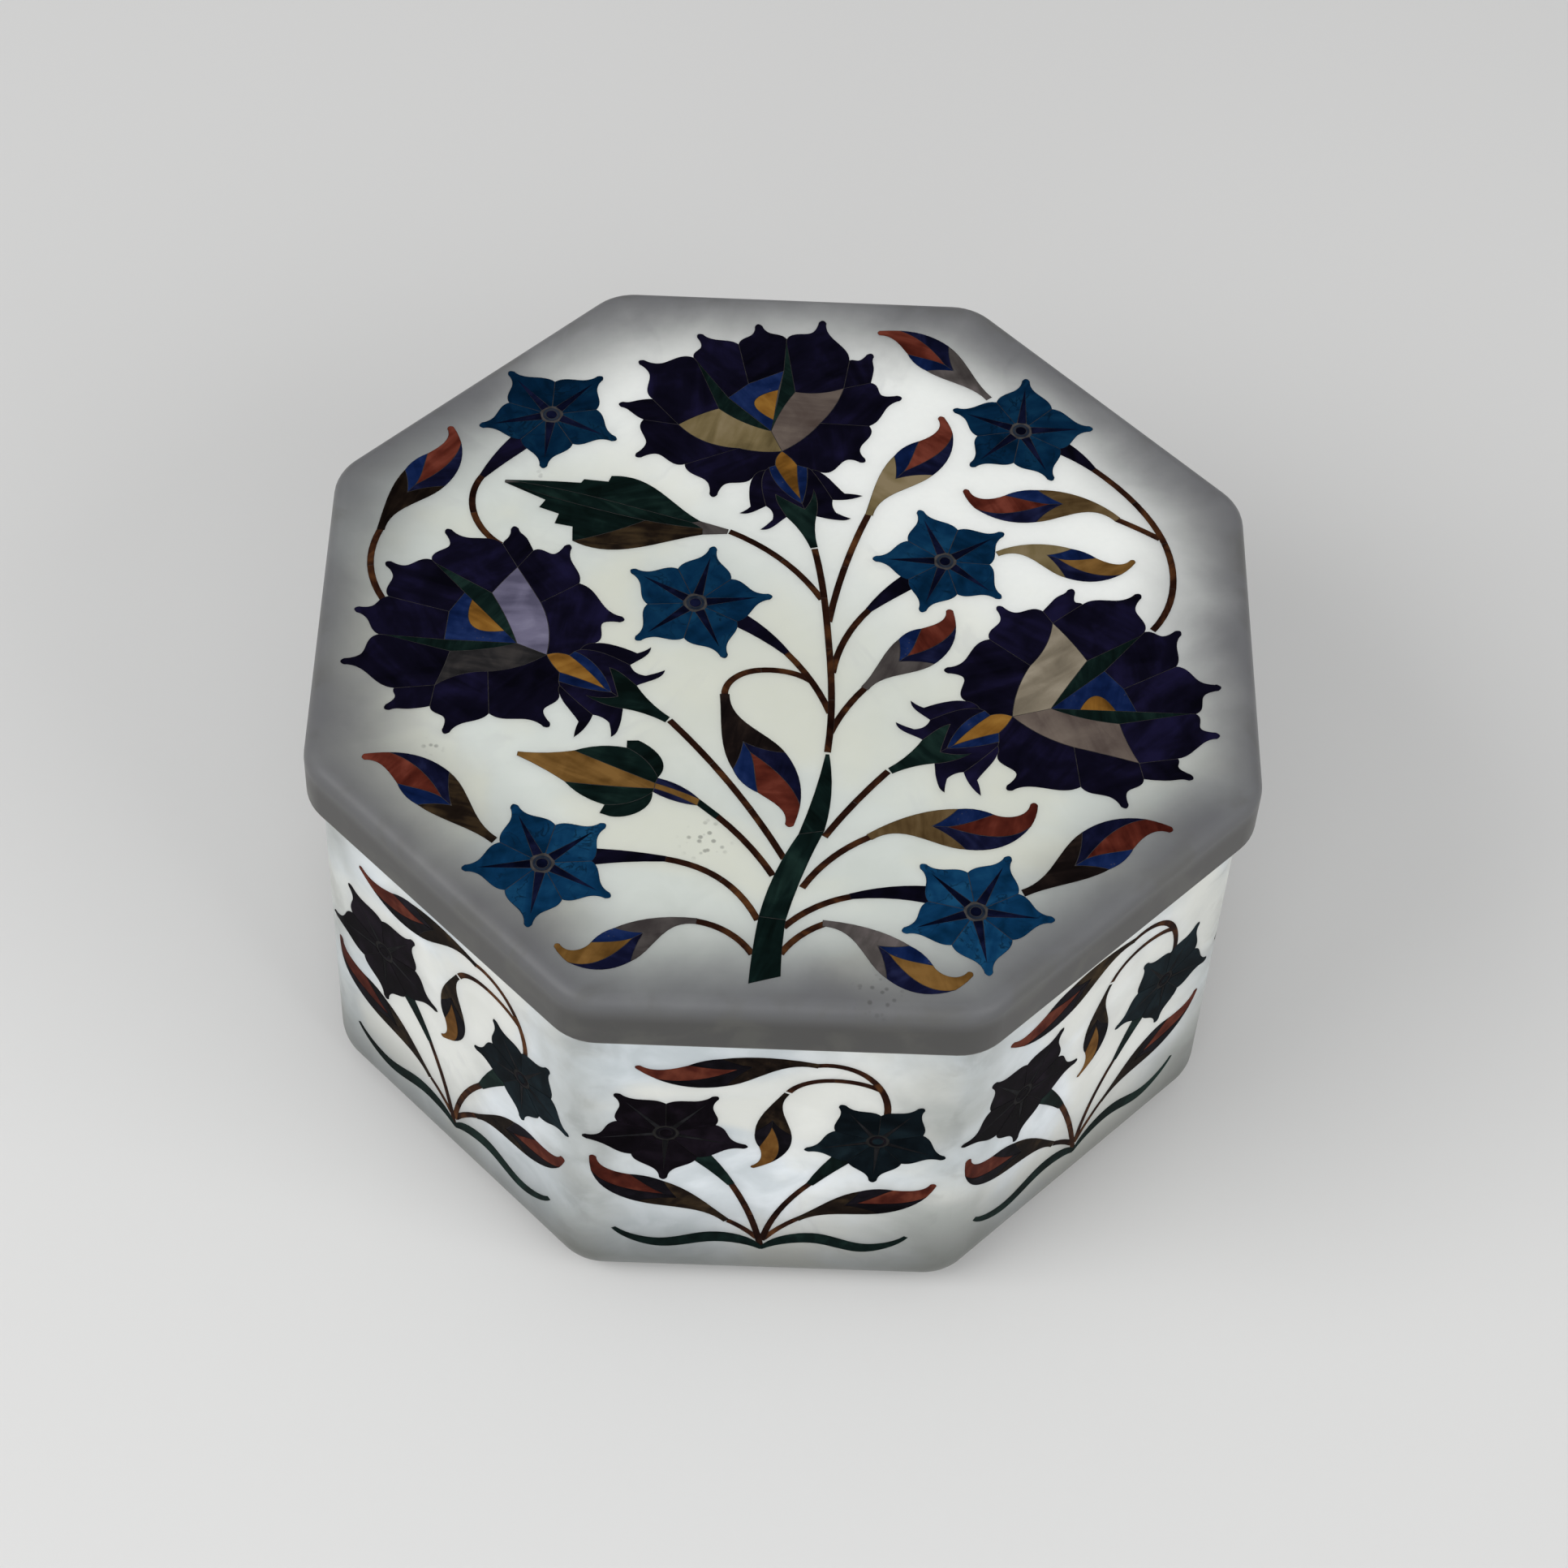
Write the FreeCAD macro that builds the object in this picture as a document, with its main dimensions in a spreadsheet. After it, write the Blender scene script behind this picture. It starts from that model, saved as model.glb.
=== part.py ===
"""Octagonal white marble box with a lift-off lid and flowers of inlaid hard stone.

Lengths are in millimetres. The box stands on z = 0 with its axis on z, and its
front facet faces -y. Outlines on the lid are seen from above. Outlines on a side
panel are seen from outside, with x along the facet and y up from the table.
"""
import FreeCAD
import Part
import Sketcher
import math
import os

V = FreeCAD.Vector

os.makedirs("parts", exist_ok=True)
doc = FreeCAD.newDocument("inlaid_box")

# Driving sizes
sheet = doc.addObject("Spreadsheet::Sheet", "Dims")
SIZES = [
    ("lid_across_flats", 127.0),
    ("lid_thickness", 9.3),
    ("lid_corner_radius", 8.0),
    ("lid_edge_round", 2.2),
    ("lid_under_round", 0.8),
    ("body_across_flats", 123.0),
    ("body_height", 60.2),
    ("body_corner_radius", 8.0),
    ("body_foot_round", 6.3),
    ("body_rim_round", 0.8),
    ("wall_thickness", 6.5),
    ("floor_thickness", 7.0),
    ("cavity_corner_radius", 6.0),
    ("cavity_floor_round", 5.0),
    ("spigot_depth", 3.5),
    ("spigot_clearance", 0.4),
    ("spigot_wall", 4.0),
    ("spigot_round", 0.8),
    ("lid_web", 5.0),
    ("hollow_round", 2.0),
    ("lid_inlay_depth", 2.0),
    ("side_inlay_depth", 1.8),
    ("joint_gap", 0.1),
    ("stem_width", 0.95),
    ("slip_length", 9.0),
]
for row, (alias, value) in enumerate(SIZES, 1):
    sheet.set("A%d" % row, alias)
    sheet.set("B%d" % row, str(value))
    sheet.setAlias("B%d" % row, alias)
doc.recompute()


# Marble box and lid
def octagon(body, name, apothem, height):
    """A regular octagon with flats across x and y, its apothem and height set by the sheet."""
    sketch = body.newObject("Sketcher::SketchObject", name)
    plane = [f for f in body.Origin.OriginFeatures if f.Role == "XY_Plane"][0]
    sketch.AttachmentSupport = [(plane, "")]
    sketch.MapMode = "FlatFace"
    if height:
        sketch.setExpression("AttachmentOffset.Base.z", height)
    turn = math.pi / 4
    corners = []
    for k in range(8):
        angle = turn / 2 + k * turn
        corners.append(V(60 * math.cos(angle), 60 * math.sin(angle), 0))
    for k in range(8):
        sketch.addGeometry(Part.LineSegment(corners[k], corners[(k + 1) % 8]), False)
    ring = sketch.addGeometry(Part.Circle(V(0, 0, 0), V(0, 0, 1), 60), True)
    for k in range(8):
        sketch.addConstraint(Sketcher.Constraint("Coincident", k, 2, (k + 1) % 8, 1))
    for k in range(8):
        sketch.addConstraint(Sketcher.Constraint("PointOnObject", k, 1, ring))
    for k in range(1, 8):
        sketch.addConstraint(Sketcher.Constraint("Equal", 0, k))
    sketch.addConstraint(Sketcher.Constraint("Coincident", ring, 3, -1, 1))
    sketch.addConstraint(Sketcher.Constraint("Horizontal", 1))
    across = sketch.addConstraint(Sketcher.Constraint("DistanceX", -1, 1, 0, 1, 55))
    sketch.renameConstraint(across, "apothem")
    sketch.setExpression("Constraints.apothem", apothem)
    doc.recompute()
    return sketch


def extrude_sketch(body, kind, name, sketch, length, upward):
    """A pad or pocket of the sketch, up or down from its plane."""
    feature = body.newObject("PartDesign::" + kind, name)
    feature.Profile = sketch
    feature.setExpression("Length", length)
    feature.Reversed = upward if kind == "Pocket" else not upward
    doc.recompute()
    return feature


def round_edges(body, name, base, chosen, radius):
    """A fillet on the edges of base that the test picks."""
    edges = []
    for number, edge in enumerate(base.Shape.Edges, 1):
        if chosen(edge):
            edges.append("Edge%d" % number)
    fillet = body.newObject("PartDesign::Fillet", name)
    fillet.Base = (base, edges)
    fillet.setExpression("Radius", radius)
    doc.recompute()
    return fillet


def upright(low, high, reach):
    """Picks vertical edges between two heights, outside or inside a distance from the axis."""
    def test(edge):
        box = edge.BoundBox
        if box.XLength > 1e-4 or box.YLength > 1e-4:
            return False
        away = math.hypot(box.XMin, box.YMin)
        inside = away < abs(reach) if reach < 0 else away > reach
        return inside and box.ZMin > low - 0.01 and box.ZMax < high + 0.01
    return test


def level(height, nearest, furthest):
    """Picks edges that lie flat at a height, between two distances from the axis."""
    def test(edge):
        box = edge.BoundBox
        if abs(box.ZMin - height) > 0.01 or abs(box.ZMax - height) > 0.01:
            return False
        middle = edge.valueAt((edge.FirstParameter + edge.LastParameter) / 2)
        return nearest < math.hypot(middle.x, middle.y) < furthest
    return test


body_top = sheet.body_height
lid_top = sheet.body_height + sheet.lid_thickness
cavity_apothem = sheet.body_across_flats / 2 - sheet.wall_thickness
spigot_apothem = cavity_apothem - sheet.spigot_clearance
hollow_apothem = spigot_apothem - sheet.spigot_wall
hollow_top = lid_top - sheet.lid_web
spigot_foot = body_top - sheet.spigot_depth

box_stone = doc.addObject("PartDesign::Body", "BoxStone")
block = octagon(box_stone, "BlockOutline", "Dims.body_across_flats / 2", "")
box_tip = extrude_sketch(box_stone, "Pad", "Block", block, "Dims.body_height", True)
box_tip = round_edges(
    box_stone, "BlockCorners", box_tip, upright(0, body_top, 50), "Dims.body_corner_radius")
box_tip = round_edges(box_stone, "BlockFoot", box_tip, level(0, 50, 80), "Dims.body_foot_round")
box_tip = round_edges(box_stone, "BlockRim", box_tip, level(body_top, 50, 80), "Dims.body_rim_round")
mouth = octagon(
    box_stone, "MouthOutline",
    "Dims.body_across_flats / 2 - Dims.wall_thickness", "Dims.body_height")
box_tip = extrude_sketch(
    box_stone, "Pocket", "Cavity", mouth, "Dims.body_height - Dims.floor_thickness", False)
box_tip = round_edges(
    box_stone, "CavityCorners", box_tip,
    upright(sheet.floor_thickness, body_top, -cavity_apothem * 1.09), "Dims.cavity_corner_radius")
box_tip = round_edges(
    box_stone, "CavityFloor", box_tip,
    level(sheet.floor_thickness, 30, cavity_apothem * 1.09), "Dims.cavity_floor_round")
box_tip = round_edges(
    box_stone, "CavityRim", box_tip,
    level(body_top, 30, cavity_apothem * 1.09), "Dims.body_rim_round")

lid_stone = doc.addObject("PartDesign::Body", "LidStone")
slab = octagon(lid_stone, "SlabOutline", "Dims.lid_across_flats / 2", "Dims.body_height")
lid_tip = extrude_sketch(lid_stone, "Pad", "Slab", slab, "Dims.lid_thickness", True)
lid_tip = round_edges(
    lid_stone, "SlabCorners", lid_tip, upright(body_top, lid_top, 50), "Dims.lid_corner_radius")
lid_tip = round_edges(lid_stone, "SlabTop", lid_tip, level(lid_top, 50, 80), "Dims.lid_edge_round")
lid_tip = round_edges(lid_stone, "SlabUnder", lid_tip, level(body_top, 50, 80), "Dims.lid_under_round")
collar = octagon(
    lid_stone, "SpigotOutline",
    "Dims.body_across_flats / 2 - Dims.wall_thickness - Dims.spigot_clearance", "Dims.body_height")
lid_tip = extrude_sketch(lid_stone, "Pad", "Spigot", collar, "Dims.spigot_depth", False)
lid_tip = round_edges(
    lid_stone, "SpigotCorners", lid_tip,
    upright(spigot_foot, body_top, -spigot_apothem * 1.1), "Dims.cavity_corner_radius")
well = octagon(
    lid_stone, "HollowOutline",
    "Dims.body_across_flats / 2 - Dims.wall_thickness - Dims.spigot_clearance - Dims.spigot_wall",
    "Dims.body_height - Dims.spigot_depth")
lid_tip = extrude_sketch(
    lid_stone, "Pocket", "Hollow", well,
    "Dims.spigot_depth + Dims.lid_thickness - Dims.lid_web", True)
lid_tip = round_edges(
    lid_stone, "HollowCorners", lid_tip,
    upright(spigot_foot, hollow_top, -hollow_apothem * 1.09), "Dims.cavity_corner_radius")
lid_tip = round_edges(
    lid_stone, "HollowTop", lid_tip, level(hollow_top, 30, hollow_apothem * 1.09), "Dims.hollow_round")
lid_tip = round_edges(
    lid_stone, "SpigotFoot", lid_tip, level(spigot_foot, 30, 80), "Dims.spigot_round")


# Outlines of cut stones
gap = sheet.joint_gap


def vec(point):
    return V(point[0], point[1], 0)


def between(first, second, share):
    """The point a share of the way from the first point to the second."""
    return (first[0] + (second[0] - first[0]) * share, first[1] + (second[1] - first[1]) * share)


def moved(point, direction, length):
    return (point[0] + direction[0] * length, point[1] + direction[1] * length)


def heading(first, second):
    """Unit direction from one point to another."""
    length = math.dist(first, second)
    return ((second[0] - first[0]) / length, (second[1] - first[1]) / length)


def curve_through(points):
    """A straight line for two points and a smooth curve for more."""
    if len(points) == 2:
        return Part.LineSegment(vec(points[0]), vec(points[1]))
    curve = Part.BSplineCurve()
    curve.interpolate([vec(p) for p in points])
    return curve


def face_of(runs):
    """A flat face bounded by runs of points, each run starting where the last one ends."""
    edges = [curve_through(run).toShape() for run in runs]
    return Part.Face(Part.Wire(edges))


def inset(runs, depth):
    """The same outline drawn in by a depth all round."""
    area = 0.0
    for run in runs:
        for p, q in zip(run, run[1:]):
            area += p[0] * q[1] - q[0] * p[1]
    inward = 1 if area > 0 else -1
    normals = []
    for run in runs:
        curve = curve_through(run)
        here = []
        for point in run:
            way = curve.tangent(curve.parameter(vec(point)))[0]
            here.append((-way.y * inward, way.x * inward))
        normals.append(here)
    drawn = []
    for number, run in enumerate(runs):
        before = normals[number - 1][-1]
        after = normals[(number + 1) % len(runs)][0]
        points = []
        for place, point in enumerate(run):
            pair = [normals[number][place], normals[number][place]]
            if place == 0:
                pair[0] = before
            if place == len(run) - 1:
                pair[1] = after
            spread = 1 + pair[0][0] * pair[1][0] + pair[0][1] * pair[1][1]
            length = depth / max(spread, 0.12)
            total = (pair[0][0] + pair[1][0], pair[0][1] + pair[1][1])
            points.append(moved(point, total, length))
        drawn.append(points)
    return drawn


def back(run):
    """The run taken from its end to its start."""
    return list(reversed(run))


class Inlay:
    """The stones of one face, by piece name, and the cells cut in the marble for them."""

    def __init__(self):
        self.stones = {}
        self.cells = []

    def lay(self, name, runs):
        """Cut one stone a little smaller than its place."""
        self.stones.setdefault(name, []).append(face_of(inset(runs, gap / 2)))

    def lay_face(self, name, face):
        self.stones.setdefault(name, []).append(face)

    def cell(self, runs):
        self.cells.append(face_of(runs))

    def trim(self, name, runs):
        """Lay a stone that ends where its neighbours begin."""
        face = face_of(inset(runs, gap / 2))
        box = face.BoundBox
        near = [c for c in self.cells if c.BoundBox.intersect(box)]
        for neighbour in near:
            face = face.cut(neighbour)
        self.lay_face(name, max(face.Faces, key=lambda f: f.Area))

    def fit(self, name, runs):
        self.trim(name, runs)
        self.cell(runs)


def band(spine, widths):
    """A strip along a curve, with its width given at each point and a point where it is zero."""
    curve = curve_through(spine)
    left = []
    right = []
    for point, width in zip(spine, widths):
        way = curve.tangent(curve.parameter(vec(point)))[0]
        left.append((point[0] - way.y * width / 2, point[1] + way.x * width / 2))
        right.append((point[0] + way.y * width / 2, point[1] - way.x * width / 2))
    runs = [left]
    if widths[-1] > 0:
        runs.append([left[-1], right[-1]])
    runs.append(back(right))
    if widths[0] > 0:
        runs.append([right[0], left[0]])
    return runs


def lay_stem(inlay, name, spine):
    """A stem in one long cell, filled with short slips of stone end to end."""
    curve = curve_through(spine)
    total = curve.length()
    count = max(1, round(total / sheet.slip_length))
    points = []
    for step in range(3 * count + 1):
        along = total * step / (3 * count)
        point = curve.value(curve.parameterAtDistance(along, curve.FirstParameter))
        points.append((point.x, point.y))
    left, end, right, start = band(points, [sheet.stem_width] * len(points))
    for k in range(count):
        above = left[3 * k:3 * k + 4]
        below = back(right)[3 * k:3 * k + 4]
        inlay.trim(name, [above, [above[-1], below[-1]], back(below), [below[0], above[0]]])
    inlay.cell([left, end, right, start])


def horned_edge(start, horn, end, length, root, bulge):
    """Outer edge of a petal from joint to joint, drawn out to a narrow round-ended horn."""
    middle = between(start, end, 0.5)
    out = heading(middle, horn)
    length = min(length, 0.55 * math.dist(middle, horn))
    side = (-out[1], out[0])
    if (start[0] - middle[0]) * side[0] + (start[1] - middle[1]) * side[1] < 0:
        side = (-side[0], -side[1])
    neck = moved(horn, out, -length)
    throat = moved(horn, out, -0.55 * length)
    near_tip = moved(horn, out, -0.5)
    root_a = moved(neck, side, root / 2)
    root_b = moved(neck, side, -root / 2)
    throat_a = moved(throat, side, 0.12 * root + 0.38)
    throat_b = moved(throat, side, -0.12 * root - 0.38)
    tip_a = moved(near_tip, side, 0.57)
    tip_b = moved(near_tip, side, -0.57)
    lobe_a = moved(between(start, root_a, 0.5), out, bulge * math.dist(start, root_a))
    lobe_b = moved(between(end, root_b, 0.5), out, bulge * math.dist(end, root_b))
    return [
        [start, lobe_a, root_a, throat_a, tip_a],
        [tip_a, horn, tip_b],
        [tip_b, throat_b, root_b, lobe_b, end],
    ]


# Star flower: five horned petals, a dark ray let into each, and a round eye
def star(inlay, names, centre, angles, tip, ray):
    petals, rays, eyes, pupils = names
    eye = 0.155 * tip
    notch = 0.62 * tip

    def at(degrees, radius):
        turn = math.radians(degrees)
        return (centre[0] + radius * math.cos(turn), centre[1] + radius * math.sin(turn))

    rim = []
    count = len(angles)
    for k in range(count):
        here = angles[k]
        past = angles[k - 1] - (360 if k == 0 else 0)
        following = angles[(k + 1) % count] + (360 if k == count - 1 else 0)
        first = (past + here) / 2
        last = (here + following) / 2
        edge = horned_edge(at(first, notch), at(here, tip), at(last, notch), 0.22 * tip, 2.5, 0.1)
        rim += edge
        point = at(here, 0.8 * tip)
        foot_a = at(here - ray, eye)
        foot_b = at(here + ray, eye)
        inner = [
            [at(last, notch), at(last, eye)],
            [at(last, eye), foot_b],
            [foot_b, point],
            [point, foot_a],
            [foot_a, at(first, eye)],
            [at(first, eye), at(first, notch)],
        ]
        inlay.lay(petals, edge + inner)
        inlay.lay(rays, [[foot_a, point], [point, foot_b], [foot_b, foot_a]])
    inlay.cell(rim)
    small = math.cos(math.radians(36)) * eye - gap
    disc = Part.Circle(vec(centre), V(0, 0, 1), small)
    hole = Part.Circle(vec(centre), V(0, 0, 1), small * 0.7)
    inlay.lay_face(eyes, Part.Face([Part.Wire(disc.toShape()), Part.Wire(hole.toShape()).reversed()]))
    dot = Part.Circle(vec(centre), V(0, 0, 1), small * 0.7 - gap)
    inlay.lay_face(pupils, Part.Face(Part.Wire(dot.toShape())))


# Bud: a sheath on the stem, two cheeks in its fork, and a flame that curls out at the tip
BUD_WIDTH = [
    (0.0, 0.17), (0.2, 0.38), (0.42, 0.9), (0.58, 1.0),
    (0.76, 0.66), (0.88, 0.28), (0.95, 0.18), (1.0, 0.14)]


def bud(inlay, names, spine, belly):
    sheath, near_cheek, far_cheek, flame = names
    curve = curve_through(spine)
    total = curve.length()
    turn_in = heading(spine[-3], spine[-2])
    turn_out = heading(spine[-2], spine[-1])
    lean = 1 if turn_in[0] * turn_out[1] - turn_in[1] * turn_out[0] > 0 else -1

    def width(share):
        for (t0, w0), (t1, w1) in zip(BUD_WIDTH, BUD_WIDTH[1:]):
            if share <= t1:
                return belly * (w0 + (w1 - w0) * (share - t0) / (t1 - t0))
        return belly * BUD_WIDTH[-1][1]

    def at(share, side):
        place = curve.parameterAtDistance(total * share, curve.FirstParameter)
        point = curve.value(place)
        way = curve.tangent(place)[0]
        reach = lean * side * width(share) / 2
        return (point.x - way.y * reach, point.y + way.x * reach)

    def line(*places):
        return [at(share, side) for share, side in places]

    base = line((0, -1), (0, 1))
    sheath_near = line((0, 1), (0.2, 1), (0.36, 1), (0.48, 1))
    sheath_far = line((0.54, -1), (0.38, -1), (0.2, -1), (0, -1))
    fork_near = line((0.48, 1), (0.42, 0.45), (0.35, 0))
    fork_far = line((0.35, 0), (0.45, -0.45), (0.54, -1))
    seam = line((0.43, 0.03), (0.35, 0))
    cheek_near = line((0.48, 1), (0.58, 1), (0.69, 1))
    cheek_far = line((0.86, -1), (0.7, -1), (0.54, -1))
    flame_near = line((0.69, 1), (0.6, 0.56), (0.52, 0.26), (0.43, 0.03))
    flame_far = line((0.43, 0.03), (0.58, -0.2), (0.74, -0.42), (0.86, -1))
    tongue_near = line((0.69, 1), (0.8, 1), (0.9, 1), (0.985, 1))
    tongue_far = line((0.985, -1), (0.93, -1), (0.86, -1))
    tip = line((0.985, 1), (1, 0), (0.985, -1))
    inlay.lay(sheath, [base, sheath_near, fork_near, fork_far, sheath_far])
    inlay.lay(near_cheek, [back(fork_near), cheek_near, flame_near, seam])
    inlay.lay(far_cheek, [back(seam), flame_far, cheek_far, back(fork_far)])
    inlay.lay(flame, [back(flame_near), tongue_near, tip, tongue_far, back(flame_far)])
    inlay.cell([base, sheath_near, cheek_near, tongue_near, tip, tongue_far, cheek_far, sheath_far])


# Rose: ten horned petals round a heart of pale petals, sepals and a bud, above a fingered calyx
PETAL_SPANS = [(0, 2), (2, 4), (4, 4), (4, 7), (7, 8), (8, 9), (9, 12), (12, 12), (12, 14), (14, 16)]
HEART_CORNERS = (0, 2, 4, 6, 7, 8, 9, 10, 12, 14, 16)


def ring_runs(ring, first, last):
    """The heart's outline from one place to another, broken at its corners."""
    runs = []
    run = [ring[first]]
    for place in range(first + 1, last + 1):
        run.append(ring[place % 16])
        if place in HEART_CORNERS:
            runs.append(run)
            run = [ring[place % 16]]
    return runs


def rose(inlay, name, ring, joints, horns, core, folds, eye, eye_side, stalk, hand):
    """ring: sixteen heart points; joints, horns: petal edge; core, folds: inside the heart."""
    origin = ring[0]
    axis = heading(origin, stalk)
    across = (axis[1] * hand, -axis[0] * hand)
    scale = math.dist(origin, stalk) / 19.57

    def calyx(*points):
        places = []
        for along, aside in points:
            places.append(moved(moved(origin, axis, along * scale), across, aside * scale))
        return places

    joints = calyx((4.1, 5.3)) + joints + calyx((5.2, -4.5))
    amber_crown = calyx((0, 0), (1.1, 1.1), (2.5, 1.6))
    amber_skirt = calyx((3.1, -1.5), (1.5, -0.9), (0, 0))
    top_end = calyx((2.5, 1.6), (2.7, 2.6))
    low_end = calyx((3.9, -2.8), (3.1, -1.5))
    top_web = calyx((2.7, 2.6), (3.1, 3.2))
    low_web = calyx((4.4, -3.3), (3.9, -2.8))
    top_shoulder = calyx((3.1, 3.2), (3.3, 4.4), (4.1, 5.3))
    low_shoulder = calyx((5.2, -4.5), (4.7, -4.0), (4.4, -3.3))
    first_side = [amber_crown, top_end, top_web, top_shoulder]
    last_side = [low_shoulder, low_web, low_end, amber_skirt]
    sepal_tips = [between(ring[7], joints[4], 0.9), between(ring[9], joints[6], 0.9)]

    # Petals
    rim = []
    for k, (first, last) in enumerate(PETAL_SPANS):
        edge = horned_edge(joints[k], horns[k], joints[k + 1], 2.7, 2.6, 0.1)
        rim += edge
        inward = [[joints[k + 1], ring[last % 16]]]
        outward = [[ring[first], joints[k]]]
        if k == 0:
            outward = first_side
        if k == len(PETAL_SPANS) - 1:
            inward = last_side
        if k == 3:
            last = 6
            inward = [[joints[4], sepal_tips[0]], [sepal_tips[0], ring[6]]]
        if k == 4:
            outward = [[ring[7], sepal_tips[0]], [sepal_tips[0], joints[4]]]
        if k == 5:
            inward = [[joints[6], sepal_tips[1]], [sepal_tips[1], ring[9]]]
        if k == 6:
            first = 10
            outward = [[ring[10], sepal_tips[1]], [sepal_tips[1], joints[6]]]
        along = [back(run) for run in reversed(ring_runs(ring, first, last))]
        inlay.lay(name + "_petals", edge + inward + along + outward)
    inlay.cell(first_side + rim + last_side)

    # Heart
    fold_one = [core, folds[0], ring[6]]
    fold_two = [core, folds[1], ring[10]]
    keel = [core, origin]
    inlay.lay(name + "_first_pale", ring_runs(ring, 0, 6) + [back(fold_one), keel])
    inlay.lay(name + "_second_pale", [back(keel), fold_two] + ring_runs(ring, 10, 16))
    bite = [eye[0], eye[1], eye[2]]
    edge_one = [[core, ring[7]]]
    edge_two = [[core, ring[9]]]
    if eye_side == 1:
        edge_one = [[core, eye[0]], bite, [eye[2], ring[7]]]
    else:
        edge_two = [[core, eye[0]], bite, [eye[2], ring[9]]]
    first_sepal = [[ring[6], sepal_tips[0]], [sepal_tips[0], ring[7]], [ring[7], core]]
    second_sepal = [[ring[10], sepal_tips[1]], [sepal_tips[1], ring[9]], [ring[9], core]]
    inlay.lay(name + "_green", [fold_one] + first_sepal)
    inlay.lay(name + "_green", [fold_two] + second_sepal)
    inlay.lay(name + "_amber", [bite, [eye[2], eye[0]]])
    closing = [back(run) for run in reversed(edge_two)]
    inlay.lay(name + "_blue", edge_one + [[ring[7], ring[8]], [ring[8], ring[9]]] + closing)

    # Calyx: four dark fingers, a forked green cone, and a striped bud in the fork
    blue_upper = calyx((2.7, 2.6), (5.1, 2.5), (7.7, 1.6), (10.6, -0.4))
    amber_upper = calyx((2.5, 1.6), (6.2, 0.8), (9.6, -0.4))
    amber_lower = calyx((9.6, -0.4), (5.9, -0.9), (3.1, -1.5))
    blue_lower = calyx((10.6, -0.4), (7.3, -1.9), (3.9, -2.8))
    nib = calyx((9.6, -0.4), (10.6, -0.4))
    amber_strip = [amber_upper, amber_lower, amber_skirt, amber_crown]
    inlay.lay(name + "_amber", amber_strip)
    inlay.lay(name + "_blue", [blue_upper, back(nib), back(amber_upper), top_end])
    inlay.lay(name + "_blue", [blue_lower, low_end, back(amber_lower), nib])
    prong_up = calyx((12.7, 2.4), (11.3, 2.7), (9.7, 3.0), (8.0, 2.9))
    prong_up_in = calyx((8.0, 2.9), (9.7, 1.4), (11.7, -0.5))
    prong_low_in = calyx((11.7, -0.5), (10.2, -1.8), (8.2, -2.7))
    prong_low = calyx((8.2, -2.7), (10.8, -2.6), (13.4, -1.8))
    cone_low = calyx((13.4, -1.8), (16.1, -0.95), (19.2, -0.6))
    cone_end = calyx((19.2, -0.6), (19.2, 0.5))
    cone_up = calyx((19.2, 0.5), (16.3, 1.0), (12.7, 2.4))
    cone = [prong_up, prong_up_in, prong_low_in, prong_low, cone_low, cone_end, cone_up]
    inlay.lay(name + "_green", cone)
    split_up = calyx((10.0, 4.8), (7.8, 4.7), (5.3, 4.3), (3.1, 3.2))
    finger_one = [
        top_shoulder,
        calyx((4.1, 5.3), (5.0, 5.9), (6.3, 6.4), (8.0, 6.8), (9.6, 7.0)),
        calyx((9.6, 7.0), (10.2, 8.0), (10.5, 8.9)),
        calyx((10.5, 8.9), (10.8, 8.2), (10.7, 6.8), (10.0, 4.8)),
        split_up,
    ]
    finger_two = [
        back(split_up),
        calyx((10.0, 4.8), (11.3, 4.2), (12.7, 4.5)),
        calyx((12.7, 4.5), (13.6, 5.7), (14.2, 6.7)),
        calyx((14.2, 6.7), (14.4, 6.0), (13.9, 4.4), (12.7, 2.4)),
        prong_up,
        prong_up_in,
        calyx((11.7, -0.5), (10.6, -0.4)),
        back(blue_upper),
        top_web,
    ]
    split_low = calyx((4.4, -3.3), (7.6, -4.2), (10.8, -4.9))
    finger_three = [
        back(low_web),
        split_low,
        calyx((10.8, -4.9), (12.1, -4.6), (13.3, -4.8)),
        calyx((13.3, -4.8), (14.3, -5.9), (14.8, -6.6)),
        calyx((14.8, -6.6), (15.0, -5.9), (14.8, -4.8), (14.2, -3.3), (13.4, -1.8)),
        back(prong_low),
        back(prong_low_in),
        calyx((11.7, -0.5), (10.6, -0.4)),
        blue_lower,
    ]
    finger_four = [
        back(low_shoulder),
        calyx((5.2, -4.5), (7.0, -5.6), (8.9, -6.4), (9.9, -6.9)),
        calyx((9.9, -6.9), (10.4, -8.4), (10.9, -9.4)),
        calyx((10.9, -9.4), (11.1, -8.6), (11.2, -7.2), (10.8, -4.9)),
        back(split_low),
    ]
    for finger in (finger_one, finger_two, finger_three, finger_four):
        inlay.lay(name + "_fingers", finger)
    inlay.cell(amber_strip)
    inlay.cell([blue_upper, back(nib), back(amber_upper), top_end])
    inlay.cell([blue_lower, low_end, back(amber_lower), nib])
    inlay.cell(cone)
    for finger in (finger_one, finger_two, finger_three, finger_four):
        inlay.cell(finger)


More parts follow.
